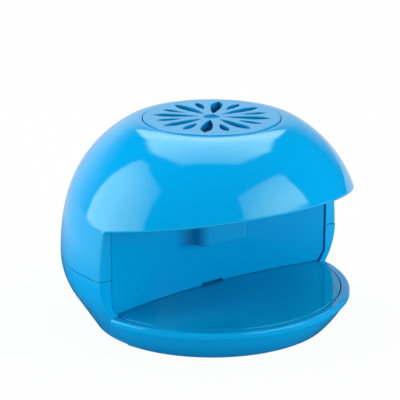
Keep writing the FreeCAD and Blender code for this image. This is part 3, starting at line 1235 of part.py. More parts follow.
def lead(name, points):
    """An insulated lead: straight runs joined by tangent arcs."""
    radius = SIZE["lead_radius"]
    points = [Vector(*point) for point in points]
    edges = []
    start = points[0]
    for before, corner, after in zip(points, points[1:], points[2:]):
        coming = (corner - before).normalize()
        going = (after - corner).normalize()
        turn = coming.getAngle(going)
        back = 0.45 * min((corner - before).Length, (after - corner).Length)
        bend = back / math.tan(turn / 2)
        middle = corner + (going - coming).normalize() * (bend / math.cos(turn / 2) - bend)
        first = corner - coming * back
        last = corner + going * back
        edges.append(Part.LineSegment(start, first).toShape())
        edges.append(Part.Arc(first, middle, last).toShape())
        start = last
    edges.append(Part.LineSegment(start, points[-1]).toShape())
    path = Part.Wire(edges)
    heading = points[1] - points[0]
    section = Part.Wire([Part.Circle(points[0], heading, radius).toShape()])
    obj = doc.addObject("Part::Feature", name + "_tube")
    obj.Shape = path.makePipeShell([section], True, True)
    return node(name, obj)


def leads():
    """The three leads between the battery, the switch and the motor."""
    s = SIZE
    tab_x = s["cell_length"] / 2 + s["contact_room"] + s["bay_rib"] + s["tab_reach"] / 2
    tab_z = (s["base_floor"] + s["cell_gap"] + s["cell_radius"] + s["tab_rise"] + s["contact_sheet"]
             + s["lead_radius"])
    front_y = s["bay_front"] + s["cell_gap"] + s["cell_radius"]
    rear_y = front_y + s["cell_gap"] + 2 * s["cell_radius"]
    motor_z = s["seam_height"] + s["motor_base"] + s["cap_length"] / 2 + s["contact_sheet"] + s["lead_radius"]
    motor_y = s["can_half_depth"] + s["tab_width"] / 2
    motor_x = s["can_radius"] / 2
    floor_z = s["base_floor"] + s["lead_lift"] + s["lead_radius"]
    board_z = s["base_floor"] + s["board_lift"] + s["board_thickness"] + s["lead_radius"]
    board_x = s["board_half_length"] - 2 * s["small_head_radius"]
    board_y = -s["switch_forward"] + s["board_half_width"] - s["lead_radius"]
    lane_x = s["cell_length"] / 2 + s["contact_room"] + s["bay_rib"] + s["lead_lift"] + s["lead_radius"]
    roof_z = (s["base_floor"] + 2 * s["cell_radius"] + 2 * s["cell_gap"] + s["bay_rib"] + s["lead_lift"]
              + s["lead_radius"])
    lead("red_lead", [
        (tab_x, front_y, tab_z),
        (tab_x + 4, front_y + 3, tab_z + 2.5),
        (lane_x + 1.5, front_y + 4, roof_z + 4),
        (tab_x * 0.62, front_y + 3, motor_z - 7),
        (motor_x + 5, motor_y + 4, motor_z + 0.6),
        (motor_x, motor_y, motor_z),
    ])
    lead("black_lead", [
        (tab_x, rear_y, tab_z),
        (tab_x + 4, rear_y - 3.5, tab_z + 0.2),
        (lane_x + 3, front_y + 4, floor_z + 4),
        (lane_x + 1.4, front_y - 6, floor_z + 0.8),
        (lane_x + 0.8, -4.5, floor_z),
        (board_x + 9, -13.5, board_z + 0.3),
        (board_x, board_y, board_z),
    ])
    lead("switch_lead", [
        (-board_x, board_y, board_z),
        (-board_x - 9, -13.5, board_z + 0.3),
        (-lane_x - 0.8, -4.5, floor_z),
        (-lane_x - 1.2, front_y - 6, floor_z + 1.2),
        (-lane_x - 2.4, front_y + 1, roof_z - 6),
        (-lane_x - 1.8, front_y + 4, roof_z + 4),
        (-motor_x - 13, motor_y + 8, motor_z - 2.5),
        (-motor_x - 5, motor_y + 4, motor_z + 0.6),
        (-motor_x, motor_y, motor_z),
    ])


# ------------------------------------------------------------------------- build
def build():
    """Make every piece, check it and write it."""
    for make in (base_shell, top_shell, top_grille, cavity_wall, outlet_panel, motor, fan_impeller,
                 motor_frame, press_plate, plate_springs, switch, contacts, battery_door, case_screws,
                 frame_screws, panel_screws, leads):
        make()
    cell("front_battery", FRONT_CELL, 1)
    cell("rear_battery", REAR_CELL, -1)
    doc.recompute()
    failed = [obj.Name for obj in doc.Objects if {"Invalid", "Error"} & set(obj.State)]
    bad = [label for label, obj in NODES.items()
           if obj.Shape.isNull() or not obj.Shape.isValid() or not obj.Shape.Solids]
    if failed or bad:
        raise RuntimeError(f"failed objects {failed}, bad shapes {bad}")
    os.makedirs("parts", exist_ok=True)
    for label, obj in NODES.items():
        obj.Shape.exportStep(os.path.join("parts", label + ".step"))
        bounds = obj.Shape.optimalBoundingBox(False, False)
        print(f"{label}: {len(obj.Shape.Solids)} solids, {obj.Shape.Volume:.0f} mm3, "
              f"x {bounds.XMin:.1f}..{bounds.XMax:.1f} y {bounds.YMin:.1f}..{bounds.YMax:.1f} "
              f"z {bounds.ZMin:.1f}..{bounds.ZMax:.1f}")


build()
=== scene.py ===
"""Looks of the nail polish fan dryer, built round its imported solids.

A glossy sky-blue case with a petal grille in its crown, an open front with a
press plate in a round tray, and the fan, motor, cells and wiring inside it.
"""
import logging
import math
from dataclasses import dataclass, field
from enum import Enum
from typing import TypeAlias

import bmesh
import bpy
from mathutils import Euler, Matrix, Vector


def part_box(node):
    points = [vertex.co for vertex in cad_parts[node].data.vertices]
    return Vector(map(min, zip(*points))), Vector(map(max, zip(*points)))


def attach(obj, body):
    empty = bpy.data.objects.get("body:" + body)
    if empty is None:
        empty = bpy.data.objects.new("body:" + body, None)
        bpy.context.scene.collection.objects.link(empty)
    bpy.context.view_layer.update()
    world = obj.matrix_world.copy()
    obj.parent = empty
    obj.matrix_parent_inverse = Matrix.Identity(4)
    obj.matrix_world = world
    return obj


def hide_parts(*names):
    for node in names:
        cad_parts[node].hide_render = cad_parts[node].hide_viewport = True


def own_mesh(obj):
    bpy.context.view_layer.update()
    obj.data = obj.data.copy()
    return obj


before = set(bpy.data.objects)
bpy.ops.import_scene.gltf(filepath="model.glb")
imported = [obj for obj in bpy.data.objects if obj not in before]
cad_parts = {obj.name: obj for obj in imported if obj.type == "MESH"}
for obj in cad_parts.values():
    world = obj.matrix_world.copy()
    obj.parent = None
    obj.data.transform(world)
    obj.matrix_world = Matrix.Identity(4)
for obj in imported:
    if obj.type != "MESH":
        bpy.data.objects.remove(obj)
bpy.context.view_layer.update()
LOG = logging.getLogger("nail_dryer")

MM = 0.001
MERGE_REACH = MM / 1000     # points nearer than this are one point
ARC_MIDDLE = 0.3            # how far an arc's middle lies inside its corner, in radii
EDGE_SAMPLES = 4            # rays that a softened edge is averaged over
UPWARD = Vector((0.0, 0.0, 1.0))
WHITE = (1.0, 1.0, 1.0, 1.0)
BLACK = (0.0, 0.0, 0.0, 1.0)

Pair: TypeAlias = tuple[float, float]
Triple: TypeAlias = tuple[float, float, float]
Colour: TypeAlias = tuple[float, float, float, float]
Term: TypeAlias = "Value | float"
Inputs: TypeAlias = "dict[str | int, Value | float | Triple | Colour | Vector]"


# ------------------------------------------------------------- shader expressions
class Value:
    """A shader number or colour on which Python's arithmetic adds nodes."""

    def __init__(self, graph: "Graph", socket: bpy.types.NodeSocket) -> None:
        """Wrap a socket.

        Args:
            graph: The graph that the socket's node belongs to.
            socket: The output socket.
        """
        self.graph = graph
        self.socket = socket

    def join(self, operation: str, first: Term, second: Term) -> "Value":
        """Add a Math node.

        Args:
            operation: The node's operation.
            first: The first number or value.
            second: The second number or value.

        Returns:
            The node's result.
        """
        return self.graph.node("ShaderNodeMath", {"operation": operation}, {0: first, 1: second})

    def __add__(self, other: Term) -> "Value":
        """Add a number or value."""
        return self.join("ADD", self, other)

    def __radd__(self, other: Term) -> "Value":
        """Add to a number."""
        return self.join("ADD", other, self)

    def __sub__(self, other: Term) -> "Value":
        """Take away a number or value."""
        return self.join("SUBTRACT", self, other)

    def __rsub__(self, other: Term) -> "Value":
        """Take away from a number."""
        return self.join("SUBTRACT", other, self)

    def __mul__(self, other: Term) -> "Value":
        """Multiply by a number or value."""
        return self.join("MULTIPLY", self, other)

    def __rmul__(self, other: Term) -> "Value":
        """Multiply a number."""
        return self.join("MULTIPLY", other, self)

    def __truediv__(self, other: Term) -> "Value":
        """Divide by a number or value."""
        return self.join("DIVIDE", self, other)

    def __rtruediv__(self, other: Term) -> "Value":
        """Divide a number."""
        return self.join("DIVIDE", other, self)

    def above(self, other: Term) -> "Value":
        """Give 1 where the value is greater than another, and 0 elsewhere."""
        return self.join("GREATER_THAN", self, other)

    def at_least(self, other: Term) -> "Value":
        """Give the greater of this and another."""
        return self.join("MAXIMUM", self, other)

    def centred(self) -> "Value":
        """Move a pattern's middle from a half to 0."""
        return self - 0.5

    def unsigned(self) -> "Value":
        """Drop the sign."""
        return self.join("ABSOLUTE", self, 0.0)

    def rising(self, start: float, width: float) -> "Value":
        """Give a ramp from 0 to 1.

        Args:
            start: Where it leaves 0.
            width: How much further on it reaches 1, or further back where negative.

        Returns:
            The ramp.
        """
        return ((self - start) / width).clamped()

    def clamped(self) -> "Value":
        """Keep between 0 and 1."""
        return self.graph.node("ShaderNodeClamp", {}, {0: self})


class Axis(Enum):
    """The axes of a pattern or a direction."""

    X = "X"
    Y = "Y"
    Z = "Z"


class Ray(Enum):
    """The rays that see the studio without lighting the case."""

    CAMERA = "Is Camera Ray"
    GLOSSY = "Is Glossy Ray"
    TRANSMISSION = "Is Transmission Ray"


class Graph:
    """The node graph of a material or of the world."""

    def __init__(self, owner: bpy.types.Material | bpy.types.World) -> None:
        """Empty an owner's node tree.

        Args:
            owner: The material or world.
        """
        owner.use_nodes = True
        self.tree = owner.node_tree
        self.tree.nodes.clear()

    def add(self, kind: str, settings: dict[str, str | float], inputs: Inputs) -> bpy.types.Node:
        """Add a node of any type.

        Args:
            kind: The node's type.
            settings: Its own properties, set first.
            inputs: Numbers, colours or values by socket name or place.

        Returns:
            The node.
        """
        made = self.tree.nodes.new(kind)
        for key, setting in settings.items():
            setattr(made, key, setting)
        for key, given in inputs.items():
            if isinstance(given, Value):
                self.tree.links.new(given.socket, made.inputs[key])
            else:
                made.inputs[key].default_value = given
        return made

    def node(self, kind: str, settings: dict[str, str | float], inputs: Inputs,
             output: str | int = 0) -> Value:
        """Add a node of any type and take one of its outputs.

        Args:
            kind: The node's type.
            settings: Its own properties, set first.
            inputs: Numbers, colours or values by socket name or place.
            output: The name or place of the output.

        Returns:
            The output.
        """
        return Value(self, self.add(kind, settings, inputs).outputs[output])

    def place(self, turn: Triple = (0.0, 0.0, 0.0), stretch: Triple = (1.0, 1.0, 1.0)) -> Value:
        """Give a piece's own coordinates in metres.

        Args:
            turn: Rotation of the pattern, in radians.
            stretch: Scale of the pattern along each axis.

        Returns:
            The coordinates.
        """
        own = self.node("ShaderNodeTexCoord", {}, {}, "Object")
        return self.node("ShaderNodeMapping", {},
                         {"Vector": own, "Rotation": turn, "Scale": stretch})

    def along(self, direction: Value, axis: Vector) -> Value:
        """Give how far a direction goes along an axis."""
        return self.node("ShaderNodeVectorMath", {"operation": "DOT_PRODUCT"},
                         {0: direction, 1: axis}, "Value")

    def ray(self, kind: Ray) -> Value:
        """Give 1 for rays of one kind."""
        return self.node("ShaderNodeLightPath", {}, {}, kind.value)

    def bands(self, axis: Axis, scale: float, fray: float) -> Value:
        """Give bands between 0 and 1 that follow each other along an axis.

        Args:
            axis: The axis.
            scale: Scale of the bands.
            fray: How uneven they are.

        Returns:
            The pattern.
        """
        return self.node("ShaderNodeTexWave", {"bands_direction": axis.value},
                         {"Vector": self.place(), "Scale": scale, "Distortion": fray})

    def blend(self, factor: Term, first: Value | Colour, second: Value | Colour) -> Value:
        """Mix two colours.

        Args:
            factor: Share of the second colour.
            first: The first colour.
            second: The second colour.

        Returns:
            The mixed colour.
        """
        return self.node("ShaderNodeMix", {"data_type": "RGBA"},
                         {0: factor, 6: first, 7: second}, 2)

    def bump(self, height: Value, depth: float, softened: float = 0.0) -> Value:
        """Give normals that a height pattern tilts.

        Args:
            height: The pattern.
            depth: Height in metres of one unit of the pattern.
            softened: Radius in metres that edges look rounded to.

        Returns:
            The normals.
        """
        inputs = {"Height": height, "Distance": depth, "Strength": 1.0}
        if softened:
            inputs["Normal"] = self.node("ShaderNodeBevel", {"samples": EDGE_SAMPLES},
                                         {"Radius": softened})
        return self.node("ShaderNodeBump", {}, inputs)

    def surface(self, **inputs: Value | float | Colour) -> None:
        """Finish the graph with a principled surface.

        Args:
            inputs: Sockets by name, with underscores for spaces.
        """
        named = {key.replace("_", " "): given for key, given in inputs.items()}
        shader = self.node("ShaderNodeBsdfPrincipled", {}, named)
        self.add("ShaderNodeOutputMaterial", {}, {"Surface": shader})


@dataclass(frozen=True)
class Cloud:
    """A cloudy pattern between 0 and 1 on a piece's own coordinates.

    The scale is in features per metre, the detail in octaves, and rough is how strong the
    fine octaves are. The turn is in radians.
    """

    scale: float
    detail: float = 2.0
    rough: float = 0.5
    turn: Triple = (0.0, 0.0, 0.0)
    stretch: Triple = (1.0, 1.0, 1.0)

    def draw(self, graph: Graph) -> Value:
        """Draw the pattern.

        Args:
            graph: The graph of the material.

        Returns:
            The pattern.
        """
        where = graph.place(self.turn, self.stretch)
        return graph.node("ShaderNodeTexNoise", {},
                          {"Vector": where, "Scale": self.scale, "Detail": self.detail,
                           "Roughness": self.rough})


@dataclass(frozen=True)
class Patches:
    """The parts of a cloudy pattern above a level, which come up over a width."""

    cloud: Cloud
    level: float
    width: float

    def draw(self, graph: Graph) -> Value:
        """Draw the patches."""
        return self.cloud.draw(graph).rising(self.level, self.width)


def rgba(red: float, green: float, blue: float) -> Colour:
    """Give an opaque colour from linear red, green and blue."""
    return (red, green, blue, 1.0)


def shade(colour: Colour, factor: float) -> Colour:
    """Darken or lighten a colour by a factor."""
    red, green, blue, _ = colour
    return rgba(red * factor, green * factor, blue * factor)


# ------------------------------------------------------------------------ finishes
@dataclass(frozen=True)
class Finish:
    """What every finish has: a name, a colour and how it is made."""

    name: str
    colour: Colour

    def material(self) -> bpy.types.Material:
        """Make the material and have the finish draw its nodes.

        Returns:
            The material.
        """
        made = bpy.data.materials.new(self.name)
        self.draw(Graph(made))
        return made

    def mottled(self, graph: Graph, pattern: Value, tones: Pair) -> Value:
        """Vary the colour with a pattern.

        Args:
            graph: The graph of the material.
            pattern: The pattern, between 0 and 1.
            tones: Factors on the colour where the pattern is 0 and where it is 1.

        Returns:
            The varied colour.
        """
        low, high = tones
        return graph.blend(pattern, shade(self.colour, low), shade(self.colour, high))

    def draw(self, graph: Graph) -> None:
        """Draw the nodes; each finish does this its own way."""
        raise NotImplementedError


@dataclass(frozen=True)
class GlossPlastic(Finish):
    """Injection-moulded plastic with a polished skin, handled now and then."""

    roughness: float = 0.05
    smudge: float = 0.07
    scratch: float = 0.05
    specular: float = 0.7
    mirror_tint: Colour = rgba(0.7, 1.0, 0.45)
    edge: float = 0.3 * MM
    ripple: float = 0.04 * MM
    peel_share: float = 0.02
    tones: Pair = (0.96, 1.04)
    pigment: Cloud = Cloud(9.0, 3.0)
    touches: Patches = Patches(Cloud(34.0, 4.0, 0.62), level=0.45, width=1.0 / 3.0)
    hairs: Cloud = Cloud(420.0, turn=(0.3, 0.2, 0.5), stretch=(1.0, 0.04, 1.0))
    hair_level: float = 0.68
    wave: Cloud = Cloud(46.0, 1.0)
    peel: Cloud = Cloud(900.0)

    def draw(self, graph: Graph) -> None:
        """Mottle the pigment a little, and let fingers dull the polish.

        Args:
            graph: The graph of the material.
        """
        smudges = self.touches.draw(graph) * self.smudge
        scratches = self.hairs.draw(graph).above(self.hair_level) * self.scratch
        wave = self.wave.draw(graph) + self.peel.draw(graph) * self.peel_share
        graph.surface(Base_Color=self.mottled(graph, self.pigment.draw(graph), self.tones),
                      Roughness=self.roughness + smudges + scratches,
                      Normal=graph.bump(wave, self.ripple, self.edge),
                      Specular_IOR_Level=self.specular, Specular_Tint=self.mirror_tint)


@dataclass(frozen=True)
class SatinPlastic(Finish):
    """Moulded plastic straight from a textured tool."""

    roughness: float = 0.38
    grain_dulling: float = 0.16
    flow_dulling: float = 0.1
    edge: float = 0.2 * MM
    depth: float = 0.03 * MM
    tones: Pair = (0.9, 1.08)
    grain: Cloud = Cloud(2600.0)
    flow: Cloud = Cloud(60.0, 3.0)

    def draw(self, graph: Graph) -> None:
        """Give fine spark-eroded grain and faint flow marks.

        Args:
            graph: The graph of the material.
        """
        grain = self.grain.draw(graph)
        flow = self.flow.draw(graph)
        dulling = grain.centred() * self.grain_dulling + flow.centred() * self.flow_dulling
        graph.surface(Base_Color=self.mottled(graph, flow, self.tones),
                      Roughness=self.roughness + dulling,
                      Normal=graph.bump(grain, self.depth, self.edge))


@dataclass(frozen=True)
class PlatedMetal(Finish):
    """Sheet or wire with a thin plating, and dull spots in it."""

    roughness: float = 0.24
    brush_dulling: float = 0.2
    spot_dulling: float = 0.4
    worn: float = 0.25
    tarnish: Colour = rgba(0.35, 0.31, 0.26)
    edge: float = 0.15 * MM
    depth: float = 0.012 * MM
    brushing: Cloud = Cloud(3200.0, stretch=(1.0, 1.0, 0.06))
    spots: Patches = Patches(Cloud(240.0, 4.0, 0.6), level=0.56, width=0.2)

    def draw(self, graph: Graph) -> None:
        """Draw brushing along one axis and tarnish in clouds.

        Args:
            graph: The graph of the material.
        """
        brush = self.brushing.draw(graph)
        spots = self.spots.draw(graph) * self.worn
        dulling = brush.centred() * self.brush_dulling + spots * self.spot_dulling
        graph.surface(Base_Color=graph.blend(spots, self.colour, self.tarnish), Metallic=1.0,
                      Roughness=self.roughness + dulling,
                      Normal=graph.bump(brush, self.depth, self.edge))


@dataclass(frozen=True)
class CircuitBoard(Finish):
    """Glass-fibre board under solder mask."""

    roughness: float = 0.3
    weave_dulling: float = 0.12
    weave_scale: float = 2200.0 / 6.0
    weave_fray: float = 0.4
    weave_share: float = 0.3
    weave_tone: float = 1.6
    track_scale: float = 180.0
    track_width: float = 0.02
    track_share: float = 0.5
    track_tone: float = 2.4
    depth: float = 0.02 * MM

    def draw(self, graph: Graph) -> None:
        """Draw the woven glass under the mask, and tracks in lighter green.

        Args:
            graph: The graph of the material.
        """
        warp = graph.bands(Axis.X, self.weave_scale, self.weave_fray)
        weft = graph.bands(Axis.Y, self.weave_scale, self.weave_fray)
        weave = (warp + weft) / 2
        tracks = graph.node("ShaderNodeTexBrick", {},
                            {"Vector": graph.place(), "Scale": self.track_scale,
                             "Mortar Size": self.track_width,
                             "Color1": BLACK, "Color2": BLACK, "Mortar": WHITE}, "Fac")
        mask = graph.blend(weave * self.weave_share, self.colour,
                           shade(self.colour, self.weave_tone))
        graph.surface(Base_Color=graph.blend(tracks * self.track_share, mask,
                                             shade(self.colour, self.track_tone)),
                      Roughness=self.roughness + weave * self.weave_dulling,
                      Normal=graph.bump(weave + tracks, self.depth))


@dataclass(frozen=True)
class WireSleeve(Finish):
    """Soft extruded insulation."""

    roughness: float = 0.42
    skin_dulling: float = 0.2
    dust_share: float = 0.25
    dust_colour: Colour = rgba(0.45, 0.43, 0.4)
    depth: float = 0.02 * MM
    skin: Cloud = Cloud(700.0, 3.0)
    dust: Patches = Patches(Cloud(160.0, 4.0), level=0.55, width=0.25)

    def draw(self, graph: Graph) -> None:
        """Give a slightly greasy, uneven skin with dust on it.

        Args:
            graph: The graph of the material.
        """
        skin = self.skin.draw(graph)
        dust = self.dust.draw(graph) * self.dust_share
        graph.surface(Base_Color=graph.blend(dust, self.colour, self.dust_colour),
                      Roughness=self.roughness + skin.centred() * self.skin_dulling,
                      Normal=graph.bump(skin, self.depth))


@dataclass(frozen=True)
class CellJacket(Finish):
    """Shrink sleeve of a dry cell: a dark body with a light band at its plus end."""

    roughness: float = 0.28
    crinkle_dulling: float = 0.12
    metallic: float = 0.6
    band_colour: Colour = rgba(0.62, 0.63, 0.65)
    band_start: float = 12.0 * MM
    scuff_colour: Colour = rgba(0.02, 0.02, 0.02)
    scuff_share: float = 0.3
    depth: float = 0.03 * MM
    crinkle: Cloud = Cloud(500.0, 3.0, stretch=(0.1, 1.0, 1.0))
    scuffs: Patches = Patches(Cloud(90.0, 3.0), level=0.4, width=1.0)

    def draw(self, graph: Graph) -> None:
        """Band the sleeve along its length and crinkle it a little.

        Args:
            graph: The graph of the material.
        """
        lengthwise = graph.node("ShaderNodeSeparateXYZ", {}, {0: graph.place()}, Axis.X.value)
        banded = graph.blend(lengthwise.above(self.band_start), self.colour, self.band_colour)
        scuffs = self.scuffs.draw(graph) * self.scuff_share
        crinkle = self.crinkle.draw(graph)
        graph.surface(Base_Color=graph.blend(scuffs, banded, self.scuff_colour),
                      Metallic=self.metallic,
                      Roughness=self.roughness + crinkle * self.crinkle_dulling,
                      Normal=graph.bump(crinkle, self.depth))


@dataclass(frozen=True)
class CopperWinding(Finish):
    """Enamelled wire wound round a laminated core."""

    roughness: float = 0.3
    groove_dulling: float = 0.3
    metallic: float = 0.8
    layer_scale: float = 3400.0 / 6.0
    layer_fray: float = 1.2
    depth: float = 0.08 * MM
    # tones: colour in the grooves and on the turns; the darker groove tone is painted shade
    tones: Pair = (0.45, 1.0)

    def draw(self, graph: Graph) -> None:
        """Draw the layers of wire as fine bands up the armature, with painted shade in the
        grooves between turns.

        Args:
            graph: The graph of the material.
        """
        layers = graph.bands(Axis.Z, self.layer_scale, self.layer_fray)
        # the layer bands darken the colour in the grooves between turns: painted shade
        graph.surface(Base_Color=self.mottled(graph, layers, self.tones), Metallic=self.metallic,
                      Roughness=self.roughness + (1.0 - layers) * self.groove_dulling,
                      Normal=graph.bump(layers, self.depth))


@dataclass(frozen=True)
class Sintered(Finish):
    """Pressed magnet powder: dull, with pores and chipped corners."""

    roughness: float = 0.6
    pore_dulling: float = 0.2
    pore_scale: float = 1800.0
    pore_middle: float = 0.3
    depth: float = 0.04 * MM
    tones: Pair = (0.7, 1.4)
    dust: Cloud = Cloud(300.0, 4.0)

    def draw(self, graph: Graph) -> None:
        """Scatter pores over a dull grey.

        Args:
            graph: The graph of the material.
        """
        pores = graph.node("ShaderNodeTexVoronoi", {},
                           {"Vector": graph.place(), "Scale": self.pore_scale})
        graph.surface(Base_Color=self.mottled(graph, self.dust.draw(graph), self.tones),
                      Roughness=self.roughness + (pores - self.pore_middle) * self.pore_dulling,
                      Normal=graph.bump(pores, self.depth))


BLUE = rgba(0.0, 0.355, 0.75)
# The lining and the press plate are the case's own blue plastic; the two darker copies below are
# painted shade for the shade inside the open front
SHADED_LINING_BLUE = rgba(0.0, 0.31, 0.65)
SHADED_PLATE_BLUE = rgba(0.0, 0.32, 0.6)
FINISHES: dict[str, Finish] = {
    "blue_shell": GlossPlastic("blue_shell_gloss", BLUE),
    # the plate and the lining take the darker copies of the case's blue: painted shade
    "blue_plate": GlossPlastic("blue_plate_painted_shade_gloss", SHADED_PLATE_BLUE, roughness=0.03, smudge=0.05,
                               specular=0.6),
    "blue_lining": GlossPlastic("blue_lining_painted_shade_gloss", SHADED_LINING_BLUE, roughness=0.09, smudge=0.05,
                                specular=0.4),
    "white_plastic": SatinPlastic("white_nylon", rgba(0.72, 0.72, 0.69)),
    "black_plastic": SatinPlastic("black_switch_plastic", rgba(0.016, 0.016, 0.018)),
    "zinc_steel": PlatedMetal("zinc_plated_steel", rgba(0.62, 0.63, 0.65)),
    "spring_steel": PlatedMetal("nickel_spring_wire", rgba(0.66, 0.64, 0.6), roughness=0.18,
                                worn=0.1),
    "brass": PlatedMetal("brass_terminal", rgba(0.78, 0.55, 0.2), tarnish=rgba(0.3, 0.17, 0.06)),
    "ferrite": Sintered("ferrite_magnet", rgba(0.045, 0.045, 0.05)),
    "copper": CopperWinding("enamelled_copper", rgba(0.72, 0.29, 0.12)),
    "board": CircuitBoard("green_circuit_board", rgba(0.01, 0.12, 0.035)),
    "red_sleeve": WireSleeve("red_wire_sleeve", rgba(0.55, 0.012, 0.01)),
    "black_sleeve": WireSleeve("black_wire_sleeve", rgba(0.012, 0.012, 0.013)),
    "cell_jacket": CellJacket("dry_cell_sleeve", rgba(0.02, 0.03, 0.05)),
}
GRILLE_FINISH = GlossPlastic("grille_gloss", BLUE, edge=0.6 * MM)


@dataclass
class Paintshop:
    """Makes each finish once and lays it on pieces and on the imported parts."""

    made: dict[str, bpy.types.Material] = field(default_factory=dict)

    def finish(self, slot: str) -> bpy.types.Material:
        """Give the material of a slot, made when first asked for.

        Args:
            slot: The slot's name.

        Returns:
            The material.
        """
        if slot not in self.made:
            self.made[slot] = FINISHES[slot].material()
        return self.made[slot]

    def dress_parts(self) -> None:
        """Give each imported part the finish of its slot, and the grille rounder edges."""
        for name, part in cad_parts.items():
            for place in part.material_slots:
                place.material = self.finish(place.material.name.split(".")[0])
            LOG.info("dressed %s", name)
        grille = GRILLE_FINISH.material()
        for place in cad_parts["top_grille"].material_slots:
            place.material = grille


# ------------------------------------------------------------------- moulded pieces
class Body(Enum):
    """The bodies that new pieces ride on."""

    CASE = "case"
    FAN = "fan"


class Side(Enum):
    """The two ends of the press plate."""

    LEFT = "left"
    RIGHT = "right"


@dataclass
class Workshop:
    """Turns finished meshes into pieces of the object."""

    shop: Paintshop
    crease: float = math.radians(38)

    def add(self, shape: bmesh.types.BMesh, name: str, body: Body, slot: str,
            node: str) -> bpy.types.Object:
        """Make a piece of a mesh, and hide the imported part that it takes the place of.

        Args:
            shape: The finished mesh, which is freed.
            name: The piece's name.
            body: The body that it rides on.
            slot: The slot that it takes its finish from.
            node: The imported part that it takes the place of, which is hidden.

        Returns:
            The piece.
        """
        bmesh.ops.recalc_face_normals(shape, faces=shape.faces)
        for face in shape.faces:
            face.smooth = True
        for edge in shape.edges:
            edge.smooth = edge.calc_face_angle(0.0) < self.crease
        data = bpy.data.meshes.new(name)
        shape.to_mesh(data)
        shape.free()
        data.materials.append(self.shop.finish(slot))
        piece = bpy.data.objects.new(name, data)
        bpy.context.scene.collection.objects.link(piece)
        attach(piece, body.value)
        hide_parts(node)
        LOG.info("made %s", name)
        return piece


@dataclass
class FanWheel:
    """The moulded fan: a hollow hub and blades that flatten and widen outwards."""

    workshop: Workshop
    blades: int = 5
    hub_radius: float = 6.5 * MM
    hub_wall: float = 1.3 * MM
    cap: float = 1.4 * MM
    sleeve: float = 2.4 * MM
    bore: float = 1.02 * MM
    bore_cover: float = 1.0 * MM
    hub_round: float = 0.8 * MM
    hub_steps: int = 64
    thickness: float = 1.2 * MM
    root_chord: float = 9.5 * MM
    tip_chord: float = 14.5 * MM
    tip_taper: float = 0.22
    taper_start: float = 0.8
    root_pitch: float = math.radians(36)
    tip_pitch: float = math.radians(21)
    lean: float = math.radians(14)
    camber: float = 0.9 * MM
    edge_round: float = 0.3 * MM
    edge_steps: int = 3
    edge_angle: float = 1.0
    sheet_cells: tuple[int, int] = (14, 10)

    def build(self) -> None:
        """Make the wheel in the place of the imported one."""
        low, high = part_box("fan_impeller")
        shape = bmesh.new()
        self.add_blades(shape, high[0] - self.edge_round, (low[2] + high[2]) / 2)
        self.add_hub(shape, low[2], high[2])
        self.workshop.add(shape, "fan_wheel", Body.FAN, "white_plastic", "fan_impeller")

    def add_blades(self, shape: bmesh.types.BMesh, tip: float, level: float) -> None:
        """Bend one blade from a flat sheet, thicken it and repeat it round the hub.

        Args:
            shape: The mesh to add to.
            tip: Radius of the blades' tips.
            level: Height of their middle.
        """
        across, along = self.sheet_cells
        sheet = bmesh.ops.create_grid(shape, x_segments=across, y_segments=along, size=0.5)
        root = self.hub_radius - self.hub_wall / 2
        for vert in sheet["verts"]:
            self.bend(vert, root, tip, level)
        faces = list({face for vert in sheet["verts"] for face in vert.link_faces})
        bmesh.ops.solidify(shape, geom=faces, thickness=self.thickness)
        rim = [edge for edge in shape.edges if edge.calc_face_angle(0.0) > self.edge_angle]
        bmesh.ops.bevel(shape, geom=rim, offset=self.edge_round, offset_type="OFFSET",
                        affect="EDGES", segments=self.edge_steps, profile=0.5, material=-1,
                        clamp_overlap=True)
        copies = self.blades - 1
        bmesh.ops.spin(shape, geom=shape.verts[:] + shape.edges[:] + shape.faces[:],
                       cent=(0, 0, 0), axis=(0, 0, 1), angle=math.tau * copies / self.blades,
                       steps=copies, use_duplicate=True)

    def bend(self, vert: bmesh.types.BMVert, root: float, tip: float, level: float) -> None:
        """Move a point of the flat sheet to its place on the blade.

        Args:
            vert: The point, half a unit each way from the sheet's middle.
            root: Radius of the blade's root.
            tip: Radius of its tip.
            level: Height of its middle.
        """
        out = vert.co.x + 0.5
        radius = root + (tip - root) * out
        pitch = self.root_pitch + (self.tip_pitch - self.root_pitch) * out
        tapering = max(0.0, out - self.taper_start) / (1.0 - self.taper_start)
        chord = self.root_chord + (self.tip_chord - self.root_chord) * out
        along = vert.co.y * chord * (1.0 - self.tip_taper * tapering)
        bulge = self.camber * (1.0 - (2.0 * vert.co.y) ** 2)
        turn = self.lean * out + (along * math.cos(pitch) - bulge * math.sin(pitch)) / radius
        lift = along * math.sin(pitch) + bulge * math.cos(pitch)
        vert.co = Vector((radius * math.cos(turn), radius * math.sin(turn),
                          level + lift - self.thickness / 2))

    def add_hub(self, shape: bmesh.types.BMesh, low: float, high: float) -> None:
        """Spin the hub's section: a rounded cap, a skirt and the sleeve on the shaft.

        Args:
            shape: The mesh to add to.
            low: Height of the hub's underside.
            high: Height of its top.
        """
        inner = self.hub_radius - self.hub_wall
        middle = self.hub_round * ARC_MIDDLE
        section = ((0.0, high), (self.hub_radius - self.hub_round, high),
                   (self.hub_radius - middle, high - middle),
                   (self.hub_radius, high - self.hub_round), (self.hub_radius, low),
                   (inner, low), (inner, high - self.cap), (self.sleeve, high - self.cap),
                   (self.sleeve, low), (self.bore, low), (self.bore, high - self.bore_cover),
                   (0.0, high - self.bore_cover))
        verts = [shape.verts.new((radius, 0, height)) for radius, height in section]
        edges = [shape.edges.new(pair) for pair in zip(verts, verts[1:])]
        bmesh.ops.spin(shape, geom=verts + edges, cent=(0, 0, 0), axis=(0, 0, 1), angle=math.tau,
                       steps=self.hub_steps, use_merge=True)
        bmesh.ops.remove_doubles(shape, verts=shape.verts, dist=MERGE_REACH)


